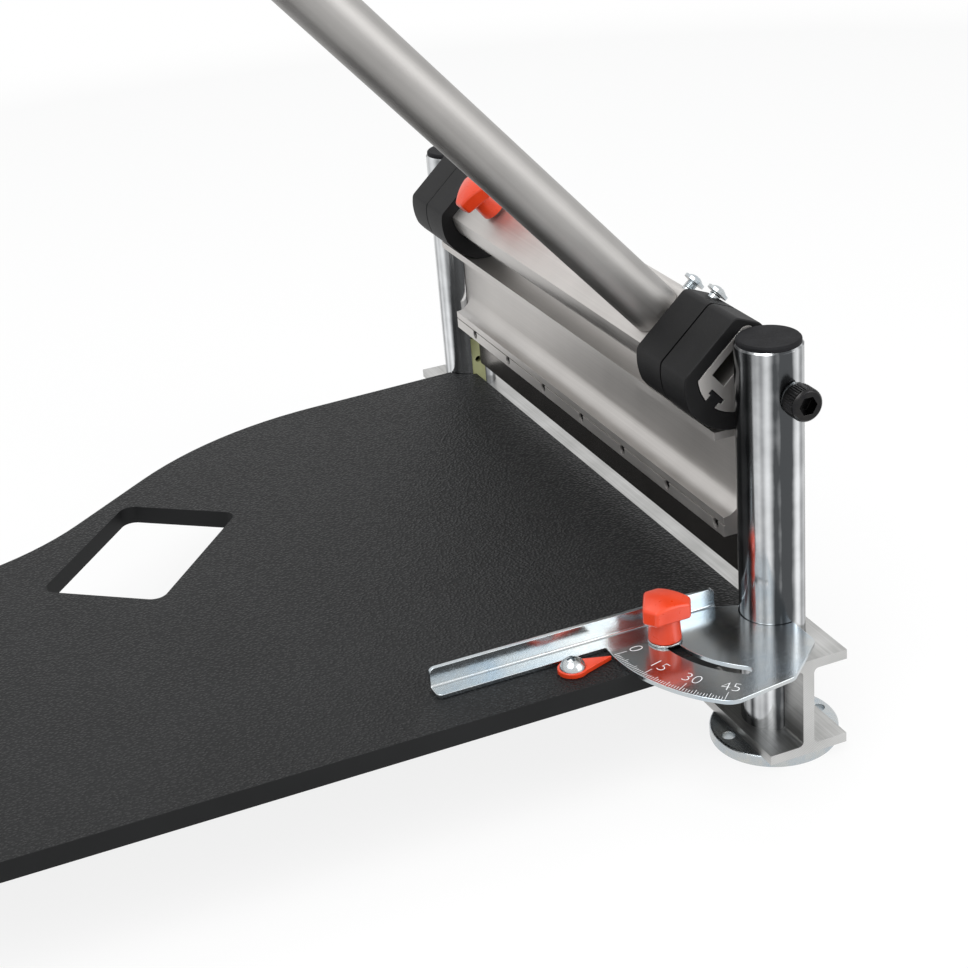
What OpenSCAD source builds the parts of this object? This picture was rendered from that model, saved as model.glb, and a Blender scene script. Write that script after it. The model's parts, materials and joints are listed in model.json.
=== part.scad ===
// Laminate flooring cutter: a cam lever presses a spring-returned shear blade
// down between two slotted posts. Lengths are in millimetres.
// X points to the outfeed side, Y runs along the blade, Z is up.
// The origin lies on the bench, midway between the two posts.

/* [Posts and feet] */
// Outside diameter of the post tubes
post_d = 31.75; // [28:0.25:36]
// Wall thickness of the post tubes
post_wall = 2.5; // [2:0.1:3.5]
// Distance between the two post axes
post_pitch = 378; // [340:1:440]
// Post tube above the lever pivot
post_over_pivot = 23; // [18:0.5:40]
// Thickness of the plastic post caps
cap_t = 2.4; // [1.5:0.1:4]
// Diameter of the round feet
foot_d = 63.5; // [60:0.5:80]
// Thickness of the round feet
foot_t = 6; // [5:0.5:10]
// Distance between the two bench holes of a foot
foot_hole_pitch = 51; // [49.5:0.5:53]
// Diameter of the bench holes
foot_hole_d = 6.5; // [4.5:0.1:7]
// Height of the tapped plug in the foot of each post
plug_h = 39; // [30:1:42]
// Diameter of the bolts that hold the feet
foot_bolt_d = 8; // [6:1:10]

/* [Base beam] */
// Width of the I-beam
beam_w = 42; // [40:0.5:42.5]
// Height of the I-beam
beam_h = 51.5; // [46:0.5:60]
// Thickness of the two flanges
flange_t = 5; // [4:0.5:6]
// Thickness of the web
web_t = 6; // [5:0.5:9]
// Radius of the fillets between web and flanges
beam_fillet = 2.5; // [2:0.5:6]
// Beam beyond the post axes
beam_overhang = 33; // [26:1:50]

/* [Support board] */
// Thickness of the board
board_t = 10; // [8:0.5:14]
// Reach of the board to the left of the blade
board_reach = 440; // [425:1:520]
// Board beyond the axis of the near post
board_near = 16; // [10:1:24]
// Slope of the far edge beside the post, in degrees
board_taper = 3.2; // [0:0.2:5]
// Slope of the drawn-in stretch of the far edge, in degrees
board_slope = 39.8; // [35:0.2:44]
// Distance from the blade to the start of the drawn-in stretch
board_shoulder_x = 178; // [150:1:190]
// Far edge of the narrow end, measured from the middle of the blade
board_waist_y = 58; // [45:1:75]
// Radius of the shoulder of the far edge
board_shoulder_r = 205; // [150:1:220]
// Radius of the hollow of the far edge
board_hollow_r = 150; // [100:1:165]
// Radius of the corners of the board
board_corner_r = 25; // [10:1:40]
// Width of the hand hold
hold_w = 68; // [50:1:75]
// Length of the hand hold
hold_l = 100; // [80:1:120]
// Radius of the hand hold corners
hold_r = 7; // [4:0.5:15]
// Turn of the hand hold from the blade line, in degrees
hold_turn = 51; // [48:0.5:54]
// Diameter of the screws that hold the board
board_screw_d = 5; // [4:0.5:6]

/* [Leg under the board] */
// Length of the leg, along the blade
leg_l = 150; // [100:1:200]
// Distance from the leg's middle to the end of the board
leg_inset = 40; // [30:1:55]
// Diameter of the leg pads
leg_pad_d = 30; // [20:1:36]

/* [Blade carriage] */
// Thickness of the carrier web, which slides in the post slots
carrier_web = 8; // [7:0.5:10]
// Width of the carrier top flange
carrier_top_w = 37.4; // [34:0.2:42]
// Thickness of the carrier top flange
carrier_top_t = 4; // [3:0.5:6]
// Height of the carrier
carrier_h = 56.5; // [52:0.5:62]
// Front of the clamping rib, measured from the blade plane
rib_front = 13.7; // [11:0.1:16]
// Back of the clamping rib, measured from the blade plane
rib_back = 8; // [6:0.5:12]
// Height of the clamping rib
rib_h = 10.3; // [9:0.1:12]
// Thickness of the blade
blade_t = 3; // [2:0.5:4]
// Blade below the clamping rib
blade_reach = 26; // [24:0.5:26.5]
// Blade held in the clamping rib
blade_grip = 16; // [12:0.5:18]
// Height of the ground bevel of the blade
blade_bevel = 6; // [3:0.5:10]
// Diameter of the set screws that clamp the blade
set_screw_d = 5; // [4:0.5:6]
// Distance between the set screws
set_screw_pitch = 50; // [40:1:60]
// Height of the end tongues that ride in the post slots
tongue_h = 46; // [40:1:48]
// Reach of the end tongues past the post axes
tongue_reach = 8; // [4:0.5:9]

/* [Return springs] */
// Wire of the springs
spring_wire = 1.6; // [1.2:0.1:2]
// Mean diameter of the springs
spring_d = 15; // [13:0.5:16]
// Turns of the springs
spring_turns = 7; // [6:1:8]

/* [Lever pivot and cams] */
// Height of the lever pivot above the board
pivot_over_board = 116.8; // [115:0.2:124]
// Offset of the lever pivot to the outfeed side of the posts
pivot_x = 4; // [2:0.5:5]
// Diameter of the pivot bolts
pivot_d = 10; // [8:0.5:11]
// Wall of the pivot bushes
bush_wall = 2; // [1.5:0.25:2.5]
// Diameter of the pivot bolt heads
pivot_head_d = 15.5; // [14.5:0.5:18]
// Height of the pivot bolt heads
pivot_head_h = 10; // [8:0.5:12]
// Pivot bolt in the cam beam
pivot_bolt_grip = 30; // [20:1:40]
// Distance from the pivot to the cam face, straight down with the lever as shown
cam_rise = 24.5; // [24:0.1:26]
// Drop of the blade for one radian of lever travel
cam_lift = 11.5; // [10.5:0.1:11.5]
// Lever travel that raises the blade, in degrees
lever_up = 45; // [30:1:45]
// Lever travel that lowers the blade, in degrees
lever_down = 52; // [40:1:52]
// Turn of the cam beam flat above level, in degrees
lever_tilt = 41.8; // [38:0.2:43]
// Radius of the cam beam section
cam_beam_r = 21.6; // [21:0.1:22]
// Flat of the cam beam, measured from the centre of its round
cam_flat = 13; // [12.5:0.1:14]
// Flat side of the cam beam, measured from the centre of its round
cam_side = 17.6; // [17:0.1:18.5]
// Width of the hollow in the cam beam
hollow_w = 21.8; // [18:0.2:22]
// Height of the hollow in the cam beam
hollow_h = 9.1; // [8.5:0.1:9.4]
// Wall between the hollow and the flat
flat_wall = 3.8; // [3:0.1:4]
// Mouth of the T-slot in the cam beam
tslot_mouth = 6.6; // [5:0.2:7.5]
// Head of the T-slot in the cam beam
tslot_head = 9.4; // [8:0.2:10.4]
// Depth of the T-slot mouth
tslot_lip = 3; // [2.5:0.1:3.5]
// Depth of the T-slot head
tslot_head_depth = 2.6; // [2:0.1:3]
// Width of each cam shoe
shoe_w = 23.6; // [18:0.2:28]
// Wall of the cam shoes at the top of their backs
shoe_back_wall = 6.5; // [6:0.1:8]
// Wall of the cam shoes over the flat
shoe_top_wall = 6.4; // [4:0.1:7]
// Wall of the cam shoes on the screw side
shoe_screw_wall = 3.9; // [3:0.1:5]
// Diameter of the shoe screws
shoe_screw_d = 5; // [4:0.5:6]
// Bare thread between an inner cam shoe and the head of its screw
shoe_screw_proud = 1.1; // [0.5:0.1:3]
// Bare thread between the cam beam and the heads of the screws beside the shoes
beam_screw_proud = 4; // [1:0.5:6]

/* [Handle] */
// Outside diameter of the handle tube
handle_d = 25.4; // [22:0.2:26]
// Wall of the handle tube
handle_wall = 1.8; // [1.2:0.1:3]
// Length of the handle tube
handle_l = 560; // [300:5:700]
// Place of the handle along the blade, measured from the middle
handle_y = -107.5; // [-108:0.5:0]
// Length of the grip
grip_l = 130; // [90:1:160]
// Thickness of the grip
grip_t = 3.5; // [2:0.1:5]
// Diameter of the handle bolt
handle_bolt_d = 10; // [8:0.5:12]

/* [Angle fence] */
// Thickness of the fence sheet
fence_t = 2.2; // [1.5:0.1:3]
// Radius of the degree scale
scale_r = 85.5; // [82:0.5:92]
// Travel of the fence, in degrees
fence_travel = 45; // [30:1:47]
// Radius of the curved slot
fence_slot_r = 58; // [54:0.5:60]
// Length of the fence arm from the post axis
fence_l = 170; // [140:1:220]
// Face of the fence lip, measured from the post axis
fence_face = 19.2; // [18.5:0.1:22]
// Height of the fence lip over the sheet
lip_h = 9.5; // [7:0.5:9.5]
// Width of the flat arm behind the lip
arm_w = 11; // [9:0.5:11.5]
// Diameter of the fence stud
stud_d = 6; // [5:0.5:7]

/* [Clamp knobs] */
// Distance from the knob's axis to its three sides
knob_side = 9.6; // [9:0.1:11]
// Distance from the knob's axis to its three blunt corners
knob_corner = 12.6; // [12:0.1:14]
// Total height of the knob
knob_h = 22; // [20:0.5:26]
// Diameter of the knob stem
knob_stem_d = 15; // [12:0.5:16]
// Height of the knob stem
knob_stem_h = 12; // [9:0.5:14]
// Place of the upper knob along the blade, measured from the middle
cam_knob_y = 87; // [60:1:95]
// Bare stud between the cam beam flat and the upper knob
cam_knob_proud = 2; // [1:0.5:14]

/* [Fits] */
// Clearance of parts that are fitted by hand
fit_gap = 0.1; // [0.05:0.01:0.2]
// Clearance of the turning pivots
turn_gap = 0.04; // [0.02:0.01:0.08]
// Clearance of faces that slide or pass each other
slide_gap = 0.3; // [0.2:0.05:0.4]

/* [Hidden] */
$fn = 64;

zinc = [0.80, 0.82, 0.84];
mill = [0.72, 0.72, 0.71];
satin = [0.74, 0.73, 0.71];
steel = [0.36, 0.35, 0.34];
black_plastic = [0.09, 0.09, 0.09];
black_oxide = [0.12, 0.12, 0.12];
red = [0.85, 0.16, 0.10];
olive = [0.62, 0.60, 0.33];

near = -1;
far = 1;
cut = 1;
post_y = post_pitch / 2;
post_r = post_d / 2;
post_bore_r = post_r - post_wall;
beam_top = foot_t + beam_h;
post_z = foot_t + flange_t;
board_top = beam_top + board_t;
pivot_z = board_top + pivot_over_board;
post_top = pivot_z + post_over_pivot;
plug_top = post_z + plug_h;

// Carriage heights with the lever as shown
carrier_top = pivot_z - cam_rise - slide_gap;
rib_z = carrier_top - carrier_h;
blade_edge = rib_z - blade_reach;
tongue_lift = 1;
tongue_z = rib_z + tongue_lift;
slot_w = carrier_web + 2 * slide_gap;
slot_over = 6;
carriage_rise = cam_lift * lever_up * PI / 180;
carriage_drop = cam_lift * lever_down * PI / 180;
slot_top = tongue_z + tongue_h + carriage_rise + slot_over;
strip_under = 3;
strip_top = tongue_z - carriage_drop - strip_under;
strip_t = 4;
carrier_gap = 3;
carrier_end = post_y - post_r - carrier_gap;
rib_setback = 2;
rib_end = carrier_end - rib_setback;
blade_end = rib_end - rib_setback;
tongue_end = post_y + tongue_reach;
screw_z = rib_z + 4;

// Cam beam frame: u along the flat, v away from it, centre on the round
pivot_u = 3.5;
pivot_v = -10.9;
cam_end_gap = 0.7;
cam_end = post_y - post_r - cam_end_gap;
hollow_top = cam_flat - flat_wall;
hollow_bottom = hollow_top - hollow_h;
tslot_v = -0.5;
tslot_inset = 3.4;
tslot_face = -cam_beam_r + tslot_inset - tslot_lip;
shoe_r = cam_beam_r + shoe_back_wall;
shoe_top = cam_flat + shoe_top_wall;
shoe_side = cam_side + shoe_screw_wall;
shoe_seam = 0.8;
shoe_screw_v = 9.2;
shoe_screw_tip = 12.2;
shoe_screw_shift = 3.2;
beam_screw_step = 21.5;
cam_corner_r = 4.5;
shoe_side_top = 7;
shoe_side_foot = -6;
shoe_top_end = 15.5;
shoe_corner_r = 4;
bush_d = pivot_d + 2 * turn_gap + 2 * bush_wall;
bush_in = cam_end + slide_gap;
bush_proud = 1;
bush_out = post_y + post_r + bush_proud;

// Angle fence heights
fence_z = board_top + fit_gap;
fence_top = fence_z + fence_t;
slot_margin = 2;
scale_end = 183 + fence_travel;
sector_foot = 23;
sector_front = -59;
sector_side = 2;
bend_r = 1.2;
lip_to = -22;
sector_end_r = 10;
sector_foot_r = 6;
lip_corner_r = 3;
stud_x = -fence_slot_r;
fence_slot_w = stud_d + 2 * slide_gap;
washer_t = 1.2;
knob_z = fence_top + washer_t + 2 * fit_gap;
knob_bore_h = knob_h - 12;
cap_spigot = 8;
post_ease = 0.8;
pad_t = foot_t;
leg_x = -board_reach + leg_inset;
leg_y = -(post_y + board_near) / 2 + board_waist_y / 2;

// Board corners as x, y and radius, counterclockwise
blade_clear = 0.8;
board_right = -(blade_t / 2 + blade_clear);
board_far_inset = 4;
board_far_y = post_y - board_far_inset;
shoulder_y = board_far_y - board_shoulder_x * tan(board_taper);
waist_x = -board_shoulder_x - (shoulder_y - board_waist_y) / tan(board_slope);
board_corners = [
    [board_right, -post_y - board_near, 1],
    [board_right, board_far_y, 1],
    [-board_shoulder_x, shoulder_y, board_shoulder_r],
    [waist_x, board_waist_y, board_hollow_r],
    [-board_reach, board_waist_y, board_corner_r],
    [-board_reach, -post_y - board_near, board_corner_r]];
hold_corner = [-247.5, 102];
board_screw_x = -(beam_w + web_t) / 4;
board_screw_step = 90;
board_screw_z = beam_top + board_t * 0.65;

// Helpers

function unit(v) = v / norm(v);
function spin(p, a) = [p.x * cos(a) - p.y * sin(a), p.x * sin(a) + p.y * cos(a)];
function xy(p) = [p.x, p.y];

// Points of the arc that rounds corner p between its neighbours a and b
function corner_arc(a, p, b, r, steps) =
    let (
        to_a = unit(a - p),
        to_b = unit(b - p),
        half = acos(to_a * to_b) / 2,
        middle = p + unit(to_a + to_b) * r / sin(half),
        start = p + to_a * r / tan(half) - middle,
        turn = (cross(to_a, to_b) > 0 ? -1 : 1) * (180 - 2 * half))
    [for (k = [0:steps]) middle + spin(start, turn * k / steps)];

// A polygon of x, y and radius corners, with every corner rounded
function rounded_outline(corners, steps) =
    let (count = len(corners))
    [for (i = [0:count - 1])
        each corner_arc(xy(corners[(i + count - 1) % count]), xy(corners[i]),
            xy(corners[(i + 1) % count]), corners[i][2], steps)];

// An XZ outline drawn out along Y
module along_y(y0, y1) {
    translate([0, y1, 0]) rotate([90, 0, 0]) linear_extrude(y1 - y0) children();
}

// A round bar along Y
module bar_y(d, y0, y1) {
    translate([0, y0, 0]) rotate([-90, 0, 0]) cylinder(d = d, h = y1 - y0);
}

// Places a child at one of the posts, with local +Y towards its outer side
module at_post(side) {
    turn = side == near ? 180 : 0;
    translate([0, side * post_y, 0]) rotate([0, 0, turn]) children();
}

// The cam beam frame: X is u, Z is v
module in_lever() {
    translate([pivot_x, 0, pivot_z]) rotate([0, -lever_tilt, 0])
        translate([-pivot_u, 0, -pivot_v]) children();
}

// A hexagonal key socket, opening at z = 0 and going up
module key_socket(across, depth) {
    translate([0, 0, -cut]) cylinder(d = across / cos(30), h = depth + cut, $fn = 6);
}

// Section of the base beam and of the leg
module beam_section() {
    difference() {
        translate([-beam_w / 2, 0]) square([beam_w, beam_h]);
        for (side = [-1, 1])
            difference() {
                translate([side > 0 ? web_t / 2 : -beam_w / 2 - cut, flange_t])
                    square([(beam_w - web_t) / 2 + cut, beam_h - 2 * flange_t]);
                for (top = [0, 1])
                    translate([side * web_t / 2, top ? beam_h - flange_t : flange_t])
                        scale([side, top ? -1 : 1]) fillet_corner(beam_fillet);
            }
    }
}

// Material left by a fillet of radius r in the corner at the origin
module fillet_corner(r) {
    difference() {
        translate([-cut, -cut]) square(r + cut);
        translate([r, r]) circle(r);
    }
}

// Frame

module base_beam() {
    color(mill) difference() {
        translate([0, 0, foot_t])
            along_y(-post_y - beam_overhang, post_y + beam_overhang) beam_section();
        for (side = [near, far]) translate([0, side * post_y, 0]) {
            translate([0, 0, post_z]) cylinder(r = post_r + fit_gap, h = beam_h);
            cylinder(d = foot_bolt_d + 2 * fit_gap, h = beam_h);
        }
        for (i = [-1.5:1:1.5])
            translate([board_screw_x, i * board_screw_step, beam_top - flange_t - cut])
                cylinder(d = board_screw_d + 2 * fit_gap, h = flange_t + 2 * cut);
    }
}

module foot() {
    chamfer = 0.8;
    difference() {
        rotate_extrude($fn = 96) polygon([[0, 0], [foot_d / 2, 0], [foot_d / 2, foot_t - chamfer],
            [foot_d / 2 - chamfer, foot_t], [0, foot_t]]);
        for (side = [-1, 1]) translate([side * foot_hole_pitch / 2, 0, -cut])
            cylinder(d = foot_hole_d, h = foot_t + 2 * cut);
        translate([0, 0, -cut]) cylinder(d = foot_bolt_d + 2 * fit_gap, h = foot_t + 2 * cut);
        foot_bolt_cone(fit_gap);
    }
}

// Countersunk head of a foot bolt, recessed under the foot
module foot_bolt_cone(gap) {
    head_h = foot_bolt_d / 2;
    rotate_extrude()
        polygon([[0, 0], [foot_bolt_d + gap, 0], [foot_bolt_d / 2 + gap, head_h], [0, head_h]]);
}

module foot_near() { color(zinc) translate([0, -post_y, 0]) foot(); }
module foot_far() { color(zinc) translate([0, post_y, 0]) foot(); }

module foot_bolts() {
    head_recess = 0.2;
    bolt_l = post_z + plug_h * 0.6;
    color(zinc) for (side = [near, far]) translate([0, side * post_y, head_recess]) difference() {
        union() {
            foot_bolt_cone(-head_recess);
            cylinder(d = foot_bolt_d, h = bolt_l);
        }
        key_socket(foot_bolt_d * 0.6, 2.5);
    }
}

module post(side) {
    tube_h = post_top - post_z;
    difference() {
        translate([0, side * post_y, post_z]) difference() {
            rotate_extrude($fn = 96) polygon([[0, 0], [post_r, 0], [post_r, tube_h - post_ease],
                [post_r - post_ease, tube_h], [0, tube_h]]);
            translate([0, 0, -cut]) cylinder(r = post_bore_r, h = tube_h + 2 * cut, $fn = 96);
        }
        at_post(side) translate([-slot_w / 2, -post_r - cut, plug_top])
            cube([slot_w, post_r, slot_top - plug_top]);
        translate([pivot_x, side * post_y - post_d, pivot_z])
            bar_y(bush_d + 2 * fit_gap, 0, 2 * post_d);
    }
}

module post_near() { color(zinc) post(near); }
module post_far() { color(zinc) post(far); }

module post_plug(side) {
    color(steel) translate([0, side * post_y, post_z]) difference() {
        cylinder(r = post_bore_r - fit_gap, h = plug_h);
        translate([0, 0, -cut]) cylinder(d = foot_bolt_d + 2 * fit_gap, h = plug_h + 2 * cut);
    }
}

module post_plug_near() { post_plug(near); }
module post_plug_far() { post_plug(far); }

// Flat cap with an eased rim and a spigot in the tube
module post_cap(side) {
    rim = 0.8;
    cap_r = post_r - post_ease;
    spigot_r = post_bore_r - fit_gap;
    color(black_plastic) translate([0, side * post_y, post_top]) rotate_extrude($fn = 96)
        polygon([[0, -cap_spigot], [spigot_r, -cap_spigot], [spigot_r, 0], [cap_r, 0],
            [cap_r, cap_t - rim], [cap_r - rim, cap_t], [0, cap_t]]);
}

module post_cap_near() { post_cap(near); }
module post_cap_far() { post_cap(far); }

// Strip that stands on the tube's plug and closes the slot below the carriage
module slot_strip(side) {
    strip_w = slot_w - 2 * fit_gap;
    hole_d = 4;
    hole_z = board_top + 9;
    strip_y = -post_r + slide_gap;
    color(olive) at_post(side) difference() {
        translate([-strip_w / 2, strip_y, plug_top]) cube([strip_w, strip_t, strip_top - plug_top]);
        translate([0, 0, hole_z]) bar_y(hole_d, -post_r - cut, 0);
    }
}

module slot_strip_near() { slot_strip(near); }
module slot_strip_far() { slot_strip(far); }

spring_bottom = plug_top;
spring_top = tongue_z - fit_gap;
spring_offset = 1.5;
spring_rings = 8;
spring_sides = 6;
// Centre line of a spring: a helix between two level end turns
spring_line = let (
        last = spring_turns * spring_rings,
        low = spring_bottom + spring_wire / 2,
        rise = spring_top - spring_bottom - spring_wire,
        end_rise = 2.4 * spring_wire,
        mid_rise = (rise - 2 * end_rise) / (spring_turns - 2))
    [for (i = [0:last])
        let (
            t = i / spring_rings,
            z = t < 1 ? end_rise * t
                : t > spring_turns - 1 ? rise - end_rise * (spring_turns - t)
                : end_rise + mid_rise * (t - 1))
        [spring_d / 2 * cos(360 * t), spring_d / 2 * sin(360 * t), low + z]];
spring_gap = min([for (i = [0:len(spring_line) - 1])
    for (j = [i + spring_rings - 1:1:len(spring_line) - 1])
        norm(spring_line[i] - spring_line[j]) - spring_wire]);
echo(least_gap_between_spring_turns = spring_gap);

// A round wire swept along the spring's centre line
module spring() {
    count = len(spring_line);
    points = [for (i = [0:count - 1]) for (k = [0:spring_sides - 1])
        let (
            out = unit([spring_line[i].x, spring_line[i].y, 0]),
            a = 360 * k / spring_sides)
        spring_line[i] + spring_wire / 2 * (cos(a) * out + sin(a) * [0, 0, 1])];
    sides = [for (i = [0:count - 2]) for (k = [0:spring_sides - 1])
        let (
            a = i * spring_sides + k,
            b = i * spring_sides + (k + 1) % spring_sides)
        each [[a, b, b + spring_sides], [a, b + spring_sides, a + spring_sides]]];
    ends = [for (k = [1:spring_sides - 2])
        let (top = (count - 1) * spring_sides)
        each [[0, k + 1, k], [top, top + k, top + k + 1]]];
    polyhedron(points, [for (f = concat(sides, ends)) [f[0], f[2], f[1]]]);
}

module return_spring_near() { color(steel) translate([0, -post_y - spring_offset, 0]) spring(); }
module return_spring_far() { color(steel) translate([0, post_y + spring_offset, 0]) spring(); }

module pivot_bush(side) {
    length = bush_out - bush_in;
    color(zinc) translate([pivot_x, side * (bush_in + bush_out) / 2, pivot_z]) difference() {
        bar_y(bush_d, -length / 2, length / 2);
        bar_y(pivot_d + 2 * turn_gap, -length / 2 - cut, length / 2 + cut);
    }
}

module pivot_bush_near() { pivot_bush(near); }
module pivot_bush_far() { pivot_bush(far); }

// Hand hold: a round-cornered window beside the drawn-in edge
module hand_hold() {
    translate(hold_corner) rotate(180 + hold_turn) polygon(rounded_outline([
        [0, 0, hold_r], [hold_l, 0, hold_r], [hold_l, hold_w, hold_r], [0, hold_w, hold_r]], 8));
}

module support_board() {
    notch_r = post_r + 2 * slide_gap;
    notch_side = 3;
    color(black_plastic) difference() {
        translate([0, 0, beam_top]) linear_extrude(board_t) difference() {
            polygon(rounded_outline(board_corners, 12));
            hand_hold();
        }
        for (side = [near, far]) translate([0, side * post_y, beam_top - cut])
            cylinder(r = notch_r, h = board_t + 2 * cut);
        translate([-post_r + notch_side, -post_y - 2 * board_near, beam_top - cut])
            cube([post_r, 2 * board_near, board_t + 2 * cut]);
        for (i = [-1.5:1:1.5])
            translate([board_screw_x, i * board_screw_step, beam_top - cut])
                cylinder(d = board_screw_d + fit_gap, h = board_screw_z - beam_top + cut);
        for (i = [-1, 1])
            translate([leg_x + board_screw_x, leg_y + i * leg_l / 3, beam_top - cut])
                cylinder(d = board_screw_d + fit_gap, h = board_screw_z - beam_top + cut);
        translate([stud_x, -post_y, beam_top - cut])
            cylinder(d = stud_d + 2 * fit_gap, h = board_t + 2 * cut);
        translate([pointer_screw_x, -post_y, board_top - pointer_screw_l])
            cylinder(d = pointer_screw_d + fit_gap, h = pointer_screw_l + cut);
    }
}

// Pan-head screw driven up through a beam flange into the board
module board_screw() {
    head_h = board_screw_d * 0.6;
    translate([0, 0, beam_top - flange_t]) difference() {
        union() {
            translate([0, 0, -head_h]) cylinder(d = 2 * board_screw_d, h = head_h);
            cylinder(d = board_screw_d, h = board_screw_z - beam_top + flange_t - fit_gap);
        }
        translate([0, 0, -head_h]) key_socket(board_screw_d * 0.6, head_h * 0.7);
    }
}

module board_screws() {
    color(zinc) for (i = [-1.5:1:1.5])
        translate([board_screw_x, i * board_screw_step, 0]) board_screw();
}

module leg_beam() {
    color(mill) difference() {
        translate([leg_x, leg_y, foot_t]) along_y(-leg_l / 2, leg_l / 2) beam_section();
        for (i = [-1, 1])
            translate([leg_x + board_screw_x, leg_y + i * leg_l / 3, beam_top - flange_t - cut])
                cylinder(d = board_screw_d + 2 * fit_gap, h = flange_t + 2 * cut);
    }
}

module leg_pads() {
    pad_r = leg_pad_d / 2;
    chamfer = 1;
    color(black_plastic) for (i = [-1, 1])
        translate([leg_x, leg_y + i * leg_l / 3, 0]) rotate_extrude()
            polygon([[0, 0], [pad_r - chamfer, 0], [pad_r, chamfer], [pad_r, pad_t], [0, pad_t]]);
}

module leg_screws() {
    color(zinc) for (i = [-1, 1])
        translate([leg_x + board_screw_x, leg_y + i * leg_l / 3, 0]) board_screw();
}

pointer_t = 2.4;
pointer_r = 7.2;
pointer_screw_d = 4;
pointer_screw_l = 8;
pointer_tip_x = -scale_r - 2 * slide_gap;
pointer_screw_x = pointer_tip_x - 20;

// Flat arrow: a round tail under the screw, drawn to a point at the scale
module scale_pointer() {
    root = [pointer_screw_x, 0];
    shoulder = [pointer_screw_x + 3, pointer_r * 0.85];
    color(red) translate([0, -post_y, board_top]) difference() {
        linear_extrude(pointer_t) union() {
            translate(root) circle(pointer_r);
            polygon([[pointer_tip_x, 0], shoulder, root, [shoulder.x, -shoulder.y]]);
        }
        translate([pointer_screw_x, 0, -cut])
            cylinder(d = pointer_screw_d + 2 * fit_gap, h = pointer_t + 2 * cut);
    }
}

// Dome-head screw of the pointer, with a cross recess
module pointer_screw() {
    head_d = 12.5;
    head_h = 5;
    dome_r = (head_d * head_d / 4 + head_h * head_h) / (2 * head_h);
    color(zinc) translate([pointer_screw_x, -post_y, board_top + pointer_t]) {
        difference() {
            intersection() {
                cylinder(d = head_d, h = head_h);
                translate([0, 0, head_h - dome_r]) sphere(dome_r);
            }
            translate([0, 0, head_h / 2]) cross_recess(head_d * 0.42, 1.4, head_h);
        }
        translate([0, 0, -pointer_screw_l - pointer_t + fit_gap])
            cylinder(d = pointer_screw_d, h = pointer_screw_l + pointer_t);
    }
}

// Stud of the fence clamp, with its head under the board
module fence_bolt() {
    head_h = stud_d * 0.65;
    color(zinc) translate([stud_x, -post_y, 0]) {
        translate([0, 0, beam_top - head_h])
            cylinder(d = stud_d * 1.75 / cos(30), h = head_h, $fn = 6);
        translate([0, 0, beam_top - fit_gap])
            cylinder(d = stud_d, h = knob_z + knob_bore_h - 1 - beam_top + fit_gap);
    }
}

// Blade carriage

screw_count = floor((rib_end - 4) * 2 / set_screw_pitch);
set_screw_ys = [for (i = [0:screw_count]) -rib_end + 8 + i * set_screw_pitch];

// T-section with a concave run-out into the clamping rib
module carrier_section() {
    run_out = rib_front - carrier_web / 2;
    groove = 0.7;
    difference() {
        union() {
            translate([-carrier_top_w / 2, carrier_top - carrier_top_t])
                square([carrier_top_w, carrier_top_t]);
            translate([-carrier_web / 2, rib_z]) square([carrier_web, carrier_h]);
            translate([-rib_front, rib_z]) square([rib_front + rib_back, rib_h]);
            difference() {
                translate([-rib_front, rib_z + rib_h]) square([run_out, run_out]);
                translate([-rib_front, rib_z + rib_h + run_out]) circle(run_out);
            }
            for (side = [-1, 1])
                translate([side * carrier_web / 2, carrier_top - carrier_top_t])
                    scale([side, -1]) fillet_corner(2);
        }
        translate([-blade_t / 2 - fit_gap, rib_z - cut])
            square([blade_t + 2 * fit_gap, blade_grip + fit_gap + cut]);
        translate([-rib_front - cut, screw_z + set_screw_d / 2 - groove])
            square([cut + groove, groove]);
    }
}

module blade_carrier() {
    color(satin) difference() {
        union() {
            along_y(-carrier_end, carrier_end) carrier_section();
            translate([-carrier_web / 2, -tongue_end, tongue_z])
                cube([carrier_web, 2 * tongue_end, tongue_h]);
        }
        for (side = [near, far])
            translate([-rib_front - cut, side > 0 ? rib_end : -carrier_end - cut, rib_z - cut])
                cube([rib_front - carrier_web / 2 + cut, carrier_end - rib_end + cut, rib_h * 2.5]);
        translate([-blade_t / 2 - fit_gap, -carrier_end - cut, rib_z - cut])
            cube([blade_t + 2 * fit_gap, 2 * carrier_end + 2 * cut, blade_grip + fit_gap + cut]);
        for (y = set_screw_ys) translate([-rib_front - cut, y, screw_z]) rotate([0, 90, 0])
            cylinder(d = set_screw_d + 2 * fit_gap, h = rib_front + cut);
    }
}

// Shear blade, ground on the outfeed side
module blade() {
    blade_top = rib_z + blade_grip;
    color(steel) along_y(-blade_end, blade_end) polygon([[-blade_t / 2, blade_edge],
        [blade_t / 2, blade_edge + blade_bevel], [blade_t / 2, blade_top], [-blade_t / 2, blade_top]]);
}

module blade_screws() {
    recess = 0.8;
    screw_l = rib_front - blade_t / 2 - recess;
    color(black_oxide) for (y = set_screw_ys)
        translate([-rib_front + recess, y, screw_z]) rotate([0, 90, 0]) difference() {
            cylinder(d = set_screw_d, h = screw_l);
            key_socket(set_screw_d / 2, 3);
        }
}

// Lever

// Half-round section with a flat top and a flat side, larger all round by grow
module d_section(grow) {
    reach = 2 * cam_beam_r;
    corner = [cam_side + grow, cam_flat + grow];
    intersection() {
        circle(cam_beam_r + grow);
        polygon(concat([[-reach, corner.y], [-reach, -reach], [corner.x, -reach]],
            corner_arc([corner.x, 0], corner, [0, corner.y], cam_corner_r + grow, 6)));
    }
}

// T-slot in the back of the cam beam, smaller all round by shrink
module tslot(shrink) {
    head_u = tslot_face + tslot_lip;
    translate([-cam_beam_r - cut, tslot_v - tslot_mouth / 2 + shrink])
        square([head_u + cam_beam_r + 2 * cut, tslot_mouth - 2 * shrink]);
    translate([head_u + shrink, tslot_v - tslot_head / 2 + shrink])
        square([tslot_head_depth - 2 * shrink, tslot_head - 2 * shrink]);
}

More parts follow.
